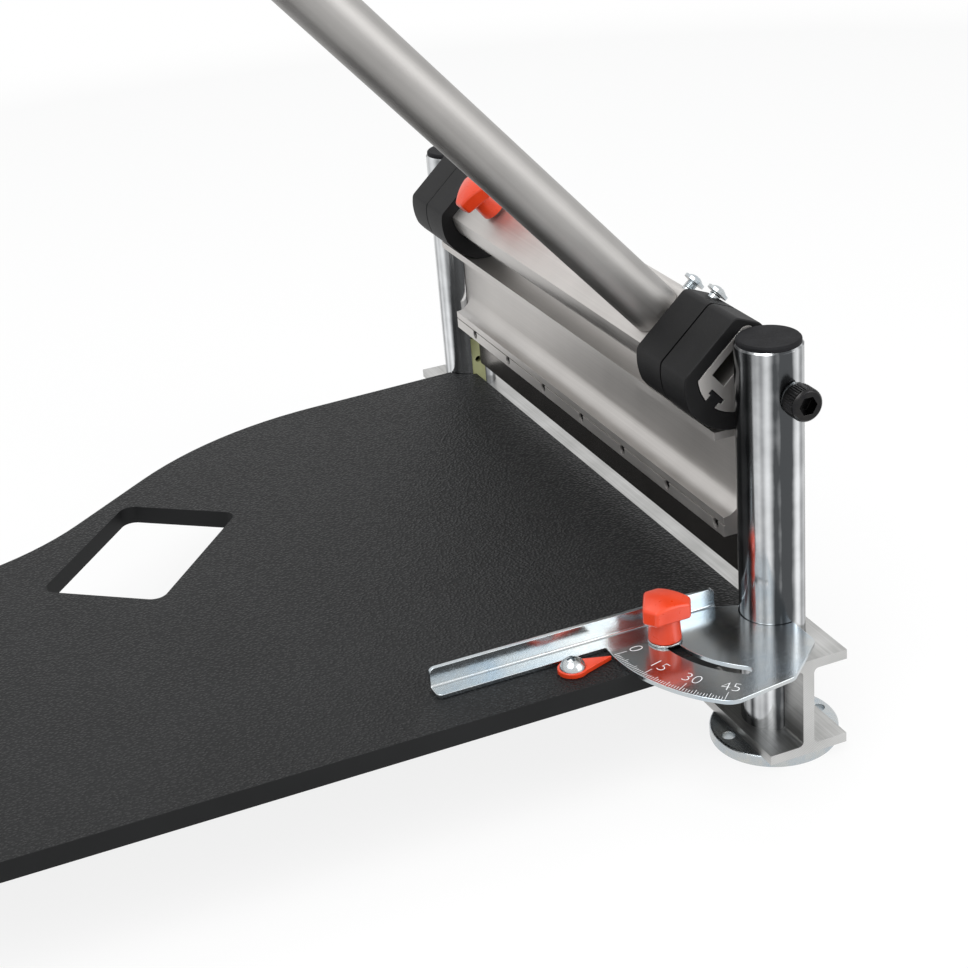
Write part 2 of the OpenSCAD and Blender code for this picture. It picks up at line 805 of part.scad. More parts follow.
module cam_beam() {
    color(satin) in_lever() difference() {
        along_y(-cam_end, cam_end) difference() {
            d_section(0);
            translate([-hollow_w / 2, hollow_bottom]) square([hollow_w, hollow_h]);
            tslot(0);
        }
        for (side = [near, far]) translate([pivot_u, side * cam_end, pivot_v])
            bar_y(pivot_d + 2 * turn_gap, -pivot_bolt_grip - cut, pivot_bolt_grip + cut);
        translate([0, handle_y, hollow_top - cut])
            cylinder(d = handle_bolt_d + 2 * fit_gap, h = flat_wall + 2 * cut);
        translate([0, cam_knob_y, hollow_top - cut])
            cylinder(d = stud_d + 2 * fit_gap, h = flat_wall + 2 * cut);
        for (seat = screw_seats) screw_hole(seat);
    }
}

shoe_middles = [for (side = [near, far]) for (i = [0, 1])
    side * (cam_end - shoe_w / 2 - i * (shoe_w + shoe_seam))];

// Screws as their y and the u of their heads: one in each inner shoe, and one
// beside it in the bare cam beam
screw_seats = let (inner = cam_end - 1.5 * shoe_w - shoe_seam - shoe_screw_shift)
    [for (side = [near, far]) each [
        [side * inner, shoe_side + shoe_screw_proud],
        [side * (inner - beam_screw_step), cam_side + beam_screw_proud]]];

// Places a child on a screw's axis, with local +Z out of the beam and z = u
module on_screw(seat) {
    translate([0, seat.x, shoe_screw_v]) rotate([0, 90, 0]) children();
}

module screw_hole(seat) {
    on_screw(seat) translate([0, 0, shoe_screw_tip - fit_gap])
        cylinder(d = shoe_screw_d + 2 * fit_gap, h = seat.y);
}

// Cam face as points about the pivot: its distance from the pivot grows evenly
// with the turn, so the blade drops evenly as the lever comes down
cam_margin = 4;
cam_steps = 35;
cam_first = lever_down + cam_margin;
cam_last = -lever_up - cam_margin;
cam_face = [for (k = [0:cam_steps])
    let (
        a = cam_first + (cam_last - cam_first) * k / cam_steps,
        reach = cam_rise + cam_lift * a * PI / 180,
        normal = [-sin(a), -cos(a)],
        along = [cos(a), -sin(a)])
    spin(reach * normal - cam_lift * along, -lever_tilt) + [pivot_u, pivot_v]];

// Shoe outline about the round's centre: a flat top, a back that swells into the
// cam face, and a smooth run-out from the cam face to the slanted screw side
module shoe_outline() {
    side_foot = [shoe_side, shoe_side_foot];
    side_top = [shoe_side, shoe_side_top];
    top_right = [shoe_top_end, shoe_top];
    top_left = [-sqrt(shoe_r * shoe_r - shoe_top * shoe_top), shoe_top];
    back_from = atan2(top_left.y, top_left.x);
    back_to = (atan2(cam_face[0].y, cam_face[0].x) + 360) % 360;
    back = [for (k = [2:7])
        let (
            a = back_from + (back_to - back_from) * k / 8,
            r = shoe_r + (norm(cam_face[0]) - shoe_r) * k / 8)
        r * [cos(a), sin(a)]];
    last = cam_face[cam_steps];
    run = spin([cos(cam_last), -sin(cam_last)], -lever_tilt);
    turn_in = last + (shoe_side - last.x) / run.x * run;
    polygon(concat(
        corner_arc(side_foot, side_top, top_right, shoe_corner_r, 4),
        corner_arc(side_top, top_right, top_left, shoe_corner_r, 4),
        corner_arc(top_right, top_left, back[0], shoe_corner_r, 4),
        back,
        cam_face,
        [for (k = [1:8])
            let (t = k / 8)
            (1 - t) * (1 - t) * last + 2 * t * (1 - t) * turn_in + t * t * side_foot]));
}

module cam_shoe(index) {
    y = shoe_middles[index];
    color(black_plastic) in_lever() difference() {
        along_y(y - shoe_w / 2, y + shoe_w / 2) {
            difference() {
                shoe_outline();
                d_section(fit_gap);
            }
            tslot(fit_gap);
        }
        for (seat = screw_seats) screw_hole(seat);
    }
}

module cam_shoe_near_outer() { cam_shoe(0); }
module cam_shoe_near_inner() { cam_shoe(1); }
module cam_shoe_far_inner() { cam_shoe(3); }
module cam_shoe_far_outer() { cam_shoe(2); }

// Pan-head screws in the side of the cam beam, which keep the cam shoes in place
module shoe_screws() {
    head_d = 2.2 * shoe_screw_d;
    head_h = 0.7 * shoe_screw_d;
    color(zinc) in_lever() for (seat = screw_seats) on_screw(seat) {
        translate([0, 0, shoe_screw_tip])
            cylinder(d = shoe_screw_d, h = seat.y - shoe_screw_tip + cut);
        translate([0, 0, seat.y]) pan_head(head_d, head_h);
    }
}

// Round-edged screw head with a cross recess
module pan_head(d, h) {
    difference() {
        union() {
            cylinder(d = d, h = h * 0.45);
            translate([0, 0, h * 0.45]) intersection() {
                cylinder(d = d, h = h * 0.55);
                translate([0, 0, h * 0.55 - d * 0.55]) sphere(d * 0.55);
                translate([0, 0, -h]) cylinder(d1 = d * 1.5, d2 = d * 0.75, h = h * 1.55);
            }
        }
        translate([0, 0, h * 0.5]) cross_recess(d * 0.4, d * 0.12, h);
    }
}

// Crossed slots of a screwdriver recess, going up from z = 0
module cross_recess(length, width, h) {
    for (a = [0, 90]) rotate([0, 0, a])
        translate([-length / 2, -width / 2, 0]) cube([length, width, h]);
}

// Socket cap screw through a post bush into the cam beam
module pivot_bolt(side) {
    head_in = bush_out + slide_gap;
    socket = pivot_head_d * 0.52;
    head_r = pivot_head_d / 2;
    chamfer = 1;
    color(black_oxide) translate([pivot_x, 0, pivot_z]) rotate([0, 0, side == near ? 180 : 0]) {
        bar_y(pivot_d, cam_end - pivot_bolt_grip, head_in + cut);
        translate([0, head_in + pivot_head_h, 0]) rotate([90, 0, 0]) difference() {
            rotate_extrude() polygon([[0, 0], [head_r - chamfer, 0], [head_r, chamfer],
                [head_r, pivot_head_h], [0, pivot_head_h]]);
            key_socket(socket, pivot_head_h * 0.55);
        }
    }
}

module pivot_bolt_near() { pivot_bolt(near); }
module pivot_bolt_far() { pivot_bolt(far); }

handle_bore_d = handle_d - 2 * handle_wall;
plug_l = 32;

module in_handle() {
    in_lever() translate([0, handle_y, cam_flat]) children();
}

module handle_tube() {
    color(satin) in_handle() difference() {
        cylinder(d = handle_d, h = handle_l);
        translate([0, 0, -cut]) cylinder(d = handle_bore_d, h = handle_l + 2 * cut);
    }
}

// Tapped plug in the foot of the handle tube
module handle_plug() {
    color(steel) in_handle() difference() {
        cylinder(d = handle_bore_d - 2 * fit_gap, h = plug_l);
        translate([0, 0, -cut]) cylinder(d = handle_bolt_d + 2 * fit_gap, h = plug_l + 2 * cut);
    }
}

// Bolt from the hollow of the cam beam into the plug
module handle_bolt() {
    head_h = handle_bolt_d * 0.6;
    color(zinc) in_handle() translate([0, 0, -flat_wall]) difference() {
        union() {
            translate([0, 0, -head_h]) cylinder(d = handle_bolt_d * 1.6, h = head_h);
            cylinder(d = handle_bolt_d, h = flat_wall + plug_l * 0.8);
        }
        translate([0, 0, -head_h]) key_socket(handle_bolt_d * 0.6, head_h * 0.6);
    }
}

// Ribbed sleeve with a closed, domed end
module handle_grip() {
    grip_r = handle_d / 2 + grip_t;
    end_t = 4;
    ring_pitch = 13;
    ring_count = floor((grip_l - 2 * ring_pitch) / ring_pitch);
    color(black_plastic) in_handle() translate([0, 0, handle_l - grip_l]) difference() {
        union() {
            cylinder(r = grip_r, h = grip_l);
            translate([0, 0, grip_l]) rotate_extrude() intersection() {
                translate([0, end_t - 2 * grip_r]) circle(2 * grip_r);
                square([grip_r, end_t]);
            }
        }
        translate([0, 0, -cut]) cylinder(d = handle_d + 2 * fit_gap, h = grip_l + cut);
        for (i = [1:ring_count]) translate([0, 0, i * ring_pitch])
            rotate_extrude() translate([grip_r + 1, 0]) circle(2, $fn = 24);
    }
}

// Angle fence and clamps

// Sheet outline about the near post's axis, +X to the outfeed side: the scale
// sector, cut back at its outfeed corner, up to the start of the bend
module fence_outline() {
    flat_y = fence_face - fence_t - bend_r - slide_gap;
    arc_from = 180 - asin(flat_y / scale_r);
    arc_to = scale_end - 8;
    arc = [for (k = [0:32])
        let (a = arc_from + (arc_to - arc_from) * k / 32)
        scale_r * [cos(a), sin(a)]];
    arc_end = scale_r * [cos(scale_end), sin(scale_end)];
    foot = [-sector_foot, sector_front];
    side_foot = [sector_side, sector_front + sector_foot];
    side_top = [sector_side, 0];
    difference() {
        polygon(concat(
            arc,
            corner_arc(arc[32], arc_end, foot, sector_end_r, 6),
            corner_arc(arc_end, foot, side_foot, sector_foot_r, 4),
            corner_arc(foot, side_foot, side_top, sector_foot_r, 4),
            [side_top, [-post_r * 0.7, post_r * 0.7], [lip_to, flat_y]]));
        polygon(fence_slot);
    }
}

// Section of the bent sheet: the flat arm, the bend and the lip
module fence_section() {
    bend_y = fence_face - fence_t - bend_r;
    bend_out = fence_t + bend_r;
    translate([fence_face - arm_w, 0]) square([arm_w - bend_out, fence_t]);
    translate([bend_y, bend_out]) intersection() {
        difference() {
            circle(bend_out);
            circle(bend_r);
        }
        translate([0, -bend_out]) square(bend_out);
    }
    translate([fence_face - fence_t, bend_out]) square([fence_t, lip_h - bend_r]);
}

// Points of the curved slot for the clamp stud, which has round ends
fence_slot = let (
        from = 180 - slot_margin,
        travel = fence_travel + 2 * slot_margin,
        half_w = fence_slot_w / 2,
        steps = 16)
    concat(
        [for (k = [0:steps]) let (a = from + travel * k / steps)
            (fence_slot_r + half_w) * [cos(a), sin(a)]],
        [for (k = [1:7]) let (a = from + travel)
            spin([fence_slot_r + half_w * cos(22.5 * k), half_w * sin(22.5 * k)], a)],
        [for (k = [0:steps]) let (a = from + travel - travel * k / steps)
            (fence_slot_r - half_w) * [cos(a), sin(a)]],
        [for (k = [1:7])
            spin([fence_slot_r - half_w * cos(22.5 * k), -half_w * sin(22.5 * k)], from)]);

module angle_fence() {
    post_clear = post_r + slide_gap;
    lip_top = fence_t + lip_h;
    color(zinc) translate([0, -post_y, fence_z]) difference() {
        union() {
            linear_extrude(fence_t) fence_outline();
            translate([-fence_l, 0, 0]) rotate([90, 0, 90])
                linear_extrude(lip_to + fence_l) fence_section();
        }
        translate([0, 0, -cut]) cylinder(r = post_clear, h = lip_top + 2 * cut);
        translate([-fence_l, 0, lip_top]) along_y(0, 2 * fence_face) scale([1, -1]) lip_corner();
        translate([lip_to, 0, lip_top]) along_y(0, 2 * fence_face) scale([-1, -1]) lip_corner();
        translate([-fence_l, fence_face - arm_w, -cut]) linear_extrude(lip_top) lip_corner();
    }
}

// Waste outside a rounded corner of the lip or the arm
module lip_corner() {
    fillet_corner(lip_corner_r);
}

// Three-cornered knob standing on z = 0, one corner towards +X, domed on top, with
// a blind bore from below
module clamp_knob() {
    dome_r = 36;
    edge_r = 1;
    corner_half = (2 * knob_side - knob_corner) * tan(30);
    difference() {
        union() {
            cylinder(d1 = knob_stem_d + 0.8, d2 = knob_stem_d - 0.6, h = knob_stem_h + cut);
            intersection() {
                translate([0, 0, knob_stem_h]) linear_extrude(knob_h - knob_stem_h)
                    polygon(rounded_outline([for (a = [0, 120, 240]) for (side = [-1, 1])
                        concat(spin([knob_corner, side * corner_half], a), edge_r)], 4));
                translate([0, 0, knob_h - dome_r]) sphere(dome_r, $fn = 128);
            }
        }
        translate([0, 0, -cut]) cylinder(d = stud_d + 2 * turn_gap, h = knob_bore_h + cut);
    }
}

module fence_knob() {
    corner_turn = -29;
    color(red) translate([stud_x, -post_y, knob_z]) rotate([0, 0, corner_turn]) clamp_knob();
}

module fence_washer() {
    color(zinc) translate([stud_x, -post_y, fence_top + fit_gap]) difference() {
        cylinder(d = knob_stem_d + 1.4, h = washer_t);
        translate([0, 0, -cut]) cylinder(d = stud_d + 2 * turn_gap, h = washer_t + 2 * cut);
    }
}

module in_cam_knob() {
    in_lever() translate([0, cam_knob_y, cam_flat]) children();
}

module cam_knob() {
    corner_turn = 65;
    color(red) in_cam_knob() translate([0, 0, cam_knob_proud])
        rotate([0, 0, corner_turn]) clamp_knob();
}

module cam_knob_stud() {
    below = flat_wall + 3;
    color(zinc) in_cam_knob() translate([0, 0, -below])
        cylinder(d = stud_d, h = below + cam_knob_proud + knob_bore_h - 1);
}

base_beam();
foot_near();
foot_far();
foot_bolts();
post_near();
post_far();
post_plug_near();
post_plug_far();
post_cap_near();
post_cap_far();
slot_strip_near();
slot_strip_far();
return_spring_near();
return_spring_far();
pivot_bush_near();
pivot_bush_far();
support_board();
board_screws();
leg_beam();
leg_pads();
leg_screws();
scale_pointer();
pointer_screw();
fence_bolt();
blade_carrier();
blade();
blade_screws();
cam_beam();
cam_shoe_near_outer();
cam_shoe_near_inner();
cam_shoe_far_inner();
cam_shoe_far_outer();
shoe_screws();
pivot_bolt_near();
pivot_bolt_far();
handle_tube();
handle_plug();
handle_bolt();
handle_grip();
angle_fence();
fence_knob();
fence_washer();
cam_knob();
cam_knob_stud();
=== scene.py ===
import json
import math
import bmesh
import bpy
from mathutils import Matrix, Vector


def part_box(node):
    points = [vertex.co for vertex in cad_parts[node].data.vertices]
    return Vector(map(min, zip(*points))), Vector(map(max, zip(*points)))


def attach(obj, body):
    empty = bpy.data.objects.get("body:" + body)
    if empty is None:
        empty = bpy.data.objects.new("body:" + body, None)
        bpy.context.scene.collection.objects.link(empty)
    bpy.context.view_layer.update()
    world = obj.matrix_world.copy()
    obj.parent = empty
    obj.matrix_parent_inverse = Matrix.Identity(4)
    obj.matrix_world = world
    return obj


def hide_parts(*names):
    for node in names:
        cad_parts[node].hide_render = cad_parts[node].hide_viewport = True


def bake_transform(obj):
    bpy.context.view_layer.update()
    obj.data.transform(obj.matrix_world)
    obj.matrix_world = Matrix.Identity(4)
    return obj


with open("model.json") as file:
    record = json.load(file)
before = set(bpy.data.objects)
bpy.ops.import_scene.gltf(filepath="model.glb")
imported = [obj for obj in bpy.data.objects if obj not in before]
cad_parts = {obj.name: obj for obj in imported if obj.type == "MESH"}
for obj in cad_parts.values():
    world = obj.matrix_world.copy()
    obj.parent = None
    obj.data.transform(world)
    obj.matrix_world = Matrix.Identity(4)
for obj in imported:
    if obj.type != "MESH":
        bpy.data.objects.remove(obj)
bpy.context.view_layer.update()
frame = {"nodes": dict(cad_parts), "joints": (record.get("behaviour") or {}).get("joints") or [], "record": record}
nodes = frame["nodes"]
record = frame["record"]
mm = 0.001
bodyOf = {node: body for body, members in record["behaviour"]["bodies"].items() for node in members}
jointOf = {joint["name"]: joint for joint in frame["joints"]}
print("frame loaded:", len(nodes), "CAD nodes")


# Materials: sRGB hex colours to linear, then one function that adds any node

def linear(hexColour):
    parts = [int(hexColour[i:i + 2], 16) / 255 for i in (1, 3, 5)]
    return [c / 12.92 if c <= 0.04045 else ((c + 0.055) / 1.055) ** 2.4 for c in parts] + [1.0]


def addNode(tree, kind, settings=None, links=None):
    node = tree.nodes.new(kind)
    for key, value in (settings or {}).items():
        if isinstance(key, int) or key in node.inputs:
            node.inputs[key].default_value = value
        else:
            setattr(node, key, value)
    for key, socket in (links or {}).items():
        tree.links.new(socket, node.inputs[key])
    return node


def startMaterial(name, settings):
    material = bpy.data.materials.new(name)
    material.use_nodes = True
    tree = material.node_tree
    tree.nodes.clear()
    shader = addNode(tree, "ShaderNodeBsdfPrincipled", settings)
    addNode(tree, "ShaderNodeOutputMaterial", None, {"Surface": shader.outputs["BSDF"]})
    coords = addNode(tree, "ShaderNodeTexCoord").outputs["Object"]
    return material, tree, shader, coords


# One on faces that look along an axis, either way, and zero on the others
def facingMask(tree, axis, least):
    normal = addNode(tree, "ShaderNodeNewGeometry").outputs["True Normal"]
    parts = addNode(tree, "ShaderNodeSeparateXYZ", None, {0: normal})
    along = addNode(tree, "ShaderNodeMath", {"operation": "ABSOLUTE"}, {0: parts.outputs[axis]})
    return addNode(tree, "ShaderNodeMath", {"operation": "GREATER_THAN", 1: least},
        {0: along.outputs[0]}).outputs[0]


# Noise with cells of one size, in mm
def cloudNoise(tree, coords, cellMm, settings):
    return addNode(tree, "ShaderNodeTexNoise", {"Scale": 1 / (cellMm * mm), **settings},
        {"Vector": coords}).outputs["Fac"]


# Noise drawn out along the axes, with the size of its cells along each in mm
def drawnNoise(tree, coords, cellMm, mapping, settings):
    placed = addNode(tree, "ShaderNodeMapping", {"vector_type": "TEXTURE", "Scale": Vector(cellMm) * mm,
        **mapping}, {"Vector": coords})
    return addNode(tree, "ShaderNodeTexNoise", {"Scale": 1.0, **settings},
        {"Vector": placed.outputs[0]}).outputs["Fac"]


def mixValues(tree, share, first, second):
    mixed = addNode(tree, "ShaderNodeMix", {"data_type": "FLOAT"}, {2: first, 3: second})
    if isinstance(share, float):
        mixed.inputs[0].default_value = share
    else:
        tree.links.new(share, mixed.inputs[0])
    return mixed.outputs[0]


def twoTones(tree, value, stops, dark, light):
    ramp = addNode(tree, "ShaderNodeValToRGB", None, {"Fac": value})
    for element, stop, colour in zip(ramp.color_ramp.elements, stops, (dark, light)):
        element.position = stop
        element.color = linear(colour)
    return ramp.outputs["Color"]


# Colour, roughness and relief of a surface; the roughness follows a value over its span
def dressSurface(tree, shader, look, colour, value, span, height):
    gloss = addNode(tree, "ShaderNodeMapRange", {"From Min": span[0], "From Max": span[1],
        "To Min": look["rough"][0], "To Max": look["rough"][1]}, {"Value": value})
    bump = addNode(tree, "ShaderNodeBump", {"Strength": look["bump"], "Distance": look["depthMm"] * mm},
        {"Height": height})
    tree.links.new(colour, shader.inputs["Base Color"])
    tree.links.new(gloss.outputs["Result"], shader.inputs["Roughness"])
    tree.links.new(bump.outputs["Normal"], shader.inputs["Normal"])


# A metal with lines in one direction, from a die, a drawing plate or a brush, and faint clouds
# where it was handled; the broad streaks on the posts are painted reflections. sawMm adds slanting saw marks on
# faces that look along Y, in a paler tone than the rest: painted light on those ends.
lineLook = {"lineDetail": 4.0, "lineRough": 0.6, "cloudDetail": 3.0, "span": (0.3, 0.7),
    "turn": (0, 0, 0), "shiftMm": (0, 0, 0)}
# The saw marks take a paler tone range than the bar's lines, so the end faces carry painted light
sawLook = {"waves": 0.5, "distortion": 1.5, "detail": 3.0, "detailScale": 2.0, "marks": (0.46, 0.86),
    "endFacing": 0.9}


# Saw marks mapped to a pale tone: real marks, and painted light that makes the end faces paler
def sawMarks(tree, coords, sawMm):
    saw = addNode(tree, "ShaderNodeTexWave", {"wave_type": "BANDS", "bands_direction": "DIAGONAL",
        "Scale": sawLook["waves"] / (sawMm * mm), "Distortion": sawLook["distortion"],
        "Detail": sawLook["detail"], "Detail Scale": sawLook["detailScale"]}, {"Vector": coords})
    low, high = sawLook["marks"]
    return addNode(tree, "ShaderNodeMapRange", {"To Min": low, "To Max": high},
        {"Value": saw.outputs["Fac"]}).outputs["Result"]


def linedMetal(ownLook):
    look = {**lineLook, **ownLook}
    material, tree, shader, coords = startMaterial(look["name"], {"Metallic": 1.0})
    height = drawnNoise(tree, coords, look["lineMm"],
        {"Rotation": look["turn"], "Location": Vector(look["shiftMm"]) * mm},
        {"Detail": look["lineDetail"], "Roughness": look["lineRough"]})
    cloud = cloudNoise(tree, coords, look["cloudMm"], {"Detail": look["cloudDetail"]})
    if "sawMm" in look:
        isEnd = facingMask(tree, "Y", sawLook["endFacing"])
        height = mixValues(tree, isEnd, height, sawMarks(tree, coords, look["sawMm"]))
    tone = mixValues(tree, look["cloudShare"], height, cloud)
    colour = twoTones(tree, tone, look["span"], look["dark"], look["light"])
    dressSurface(tree, shader, look, colour, tone, look["span"], height)
    return material


# A plated metal: patches of the clear passivation shift between two tints, with fine rolling
# scratches under them
plateLook = {"patch": {"Detail": 5.0, "Roughness": 0.65, "Distortion": 0.6}, "grit": {"Detail": 2.0},
    "scratch": {"Detail": 3.0}, "scratchShare": 0.5, "stops": (0.32, 0.68), "glossSpan": (0.35, 0.65)}


def platedMetal(look):
    material, tree, shader, coords = startMaterial(look["name"], {"Metallic": 1.0})
    patches = cloudNoise(tree, coords, look["patchMm"], plateLook["patch"])
    grit = cloudNoise(tree, coords, look["gritMm"], plateLook["grit"])
    scratches = drawnNoise(tree, coords, look["scratchMm"], {}, plateLook["scratch"])
    height = mixValues(tree, plateLook["scratchShare"], grit, scratches)
    colour = twoTones(tree, patches, plateLook["stops"], look["cool"], look["warm"])
    dressSurface(tree, shader, look, colour, height, plateLook["glossSpan"], height)
    return material


# A moulded polymer: a fine mould grain in the gloss and the normal, and faint flow clouds
mouldLook = {"specular": 0.5, "grain": {"Detail": 3.0, "Roughness": 0.6}, "flow": {"Detail": 4.0},
    "stops": (0.35, 0.7), "glossSpan": (0.3, 0.7)}


def mouldedPolymer(ownLook):
    look = {**mouldLook, **ownLook}
    material, tree, shader, coords = startMaterial(look["name"],
        {"IOR": look["ior"], "Specular IOR Level": look["specular"]})
    grain = cloudNoise(tree, coords, look["grainMm"], look["grain"])
    flow = cloudNoise(tree, coords, look["flowMm"], look["flow"])
    colour = twoTones(tree, flow, look["stops"], look["dark"], look["light"])
    dressSurface(tree, shader, look, colour, grain, look["glossSpan"], grain)
    return material


# A board pressed with a pebble grain on its level faces, while its edges stay smooth
def pebbledBoard(look):
    material, tree, shader, coords = startMaterial(look["name"],
        {"IOR": look["ior"], "Specular IOR Level": look["specular"]})
    pebble = look["pebbleMm"] * mm
    wobble = addNode(tree, "ShaderNodeTexNoise", {"Scale": look["wobbles"] / pebble, "Detail": 2.0},
        {"Vector": coords})
    shifted = addNode(tree, "ShaderNodeVectorMath", {"operation": "MULTIPLY_ADD", 1: [pebble] * 3},
        {0: wobble.outputs["Color"], 2: coords})
    pebbles = addNode(tree, "ShaderNodeTexVoronoi", {"feature": "SMOOTH_F1", "Scale": 1 / pebble,
        "Smoothness": look["smoothness"]}, {"Vector": shifted.outputs[0]})
    crowns = addNode(tree, "ShaderNodeMapRange", {"From Min": look["crownSpan"][0],
        "From Max": look["crownSpan"][1], "To Min": 1.0, "To Max": 0.0},
        {"Value": pebbles.outputs["Distance"]})
    height = addNode(tree, "ShaderNodeMath", {"operation": "MULTIPLY"},
        {0: crowns.outputs["Result"], 1: facingMask(tree, "Z", look["faceFacing"])}).outputs[0]
    dust = cloudNoise(tree, coords, look["cloudMm"], {"Detail": 5.0})
    colour = twoTones(tree, dust, look["stops"], look["dark"], look["light"])
    dressSurface(tree, shader, look, colour, height, (0, 1), height)
    return material


# The tilt of the cam beam's flat from level, and the pivot's place in the beam's section
leverAxis = {"tiltDegrees": 41.8, "pivotAcrossMm": 3.5, "pivotUpMm": -10.9}
leverTurn = (0, math.radians(-leverAxis["tiltDegrees"]), 0)

# Extruded aluminium as it leaves the die, cut with a saw: long die lines, slanting saw marks on the ends, painted
# paler than the sides as painted light
millAluminium = linedMetal({"name": "millAluminium", "light": "#cfcfce", "dark": "#9a9a98",
    "rough": (0.34, 0.46), "lineMm": (0.9, 90, 0.9), "cloudMm": 22, "cloudShare": 0.45,
    "bump": 0.2, "depthMm": 0.04, "sawMm": 0.8})
# Satin anodised aluminium extrusion: an even silk sheen with faint lines along the bar
# and saw marks on its ends, painted paler than the bar as painted light
satinAluminium = linedMetal({"name": "satinAluminium", "light": "#ccc9c6", "dark": "#b8b5b2",
    "rough": (0.40, 0.50), "lineMm": (0.7, 140, 0.7), "cloudMm": 40, "cloudShare": 0.5,
    "bump": 0.12, "depthMm": 0.03, "sawMm": 0.9})
# Satin anodised tube, bead blasted before the bath: soft, even, nearly without lines
satinTube = linedMetal({"name": "satinTube", "light": "#a9a7a5", "dark": "#989694",
    "rough": (0.46, 0.55), "lineMm": (2.5, 2.5, 120), "lineDetail": 2.0, "turn": leverTurn, "cloudMm": 30,
    "cloudShare": 0.5, "bump": 0.04, "depthMm": 0.02})
# Drawn steel tube, bright zinc plated: nearly a mirror. The broad upright streaks are colour, in place of
# the reflections that such a tube shows, and each post takes them from its own place in the pattern
tubeLook = {"light": "#e6e8ea", "dark": "#4a4c4e", "rough": (0.20, 0.10), "lineMm": (7.5, 7.5, 900),
    "lineDetail": 1.2, "cloudMm": 14, "cloudShare": 0.1, "span": (0.41, 0.59), "bump": 0.06, "depthMm": 0.02}
brightZincNear = linedMetal({**tubeLook, "name": "brightZincNear", "shiftMm": (39.6, 0, 0)})
brightZincFar = linedMetal({**tubeLook, "name": "brightZincFar", "shiftMm": (55.1, 0, 0)})
# Tool steel, ground and polished: dark, with grinding lines straight down to the edge
groundSteel = linedMetal({"name": "groundSteel", "light": "#8d8985", "dark": "#6f6b67",
    "rough": (0.16, 0.26), "lineMm": (0.5, 0.5, 14), "cloudMm": 35, "cloudShare": 0.4,
    "bump": 0.12, "depthMm": 0.02})
# Plain steel, lightly oiled: dull grey
plainSteel = linedMetal({"name": "plainSteel", "light": "#8a8a8c", "dark": "#6a6a6c",
    "rough": (0.3, 0.45), "lineMm": (0.6, 0.6, 12), "cloudMm": 8, "cloudShare": 0.5,
    "bump": 0.1, "depthMm": 0.02})
# Steel sheet, zinc plated with a clear blue passivation: a soft gloss with pale blue patches
zincSheet = platedMetal({"name": "zincSheet", "cool": "#b8c3cb", "warm": "#cacccb",
    "rough": (0.15, 0.23), "patchMm": 30, "gritMm": 1.1, "scratchMm": (22, 0.7, 0.7),
    "bump": 0.04, "depthMm": 0.02})
# Zinc plated fasteners and feet: as the sheet, with smaller patches
zincPlate = platedMetal({"name": "zincPlate", "cool": "#b2bbc2", "warm": "#c4c5c2",
    "rough": (0.18, 0.32), "patchMm": 11, "gritMm": 0.6, "scratchMm": (0.5, 9, 0.5),
    "bump": 0.10, "depthMm": 0.02})
# Black oxide on alloy steel: near black with a dull metal gloss
blackOxide = platedMetal({"name": "blackOxide", "cool": "#2a2a2c", "warm": "#343332",
    "rough": (0.24, 0.34), "patchMm": 5, "gritMm": 0.5, "scratchMm": (0.4, 5, 0.4),
    "bump": 0.10, "depthMm": 0.02})
# Glass-filled nylon, moulded: black, matt, with a fine mould grain
nylonShoe = mouldedPolymer({"name": "nylonShoe", "light": "#131314", "dark": "#0c0c0d", "ior": 1.53,
    "specular": 0.2, "rough": (0.50, 0.62), "grainMm": 0.5, "flowMm": 14, "bump": 0.14, "depthMm": 0.04})
# Polyethylene caps: black and a little waxy
polyCap = mouldedPolymer({"name": "polyCap", "light": "#1c1c1e", "dark": "#131315", "ior": 1.51,
    "specular": 0.12, "rough": (0.58, 0.70), "grainMm": 0.7, "flowMm": 8, "bump": 0.16, "depthMm": 0.05})
# Red ABS, moulded: bright, smooth and glossy
redAbs = mouldedPolymer({"name": "redAbs", "light": "#e2431c", "dark": "#d83b16", "ior": 1.54,
    "rough": (0.27, 0.31), "grainMm": 1.8, "flowMm": 10, "bump": 0.02, "depthMm": 0.02})
# Acetal strip, olive yellow: smooth and a little waxy
oliveAcetal = mouldedPolymer({"name": "oliveAcetal", "light": "#9a9c72", "dark": "#83855c", "ior": 1.48,
    "rough": (0.34, 0.46), "grainMm": 0.8, "flowMm": 12, "bump": 0.08, "depthMm": 0.03})
# Soft rubber of grip and pads: black, dull, with a coarse grain
softRubber = mouldedPolymer({"name": "softRubber", "light": "#161617", "dark": "#0f0f10", "ior": 1.52,
    "specular": 0.3, "rough": (0.62, 0.78), "grainMm": 0.6, "flowMm": 16, "bump": 0.25, "depthMm": 0.06})
# Pale paint of the scale's lines and numbers: flat and dull
paleInk = mouldedPolymer({"name": "paleInk", "light": "#eef0f1", "dark": "#dfe2e4", "ior": 1.45,
    "rough": (0.55, 0.65), "grainMm": 0.5, "flowMm": 4, "bump": 0.05, "depthMm": 0.01})
# Polyethylene board, pressed with a pebble grain: black, with the light broken into small glints
pebbledPoly = pebbledBoard({"name": "pebbledPoly", "light": "#141516", "dark": "#0d0e0f", "ior": 1.51,
    "specular": 0.22, "rough": (0.60, 0.34), "pebbleMm": 1.6, "cloudMm": 45, "bump": 0.85, "depthMm": 0.45,
    "wobbles": 0.4, "smoothness": 0.35, "crownSpan": (0.05, 0.65), "faceFacing": 0.99, "stops": (0.3, 0.75)})
print("materials made:", len(bpy.data.materials))


# Pieces

def meshFrom(bm, name):
    mesh = bpy.data.meshes.new(name)
    bm.to_mesh(mesh)
    bm.free()
    return mesh


def finishPiece(mesh, node, material, rides=True, sharpDegrees=46):
    piece = bpy.data.objects.new(mesh.name, mesh)
    bpy.context.scene.collection.objects.link(piece)
    mesh.materials.clear()
    mesh.materials.append(material)
    mesh.shade_smooth()
    mesh.set_sharp_from_angle(angle=math.radians(sharpDegrees))
    flats = piece.modifiers.new("flats", "WEIGHTED_NORMAL")
    flats.keep_sharp = True
    if rides:
        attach(piece, bodyOf[node])
    return piece


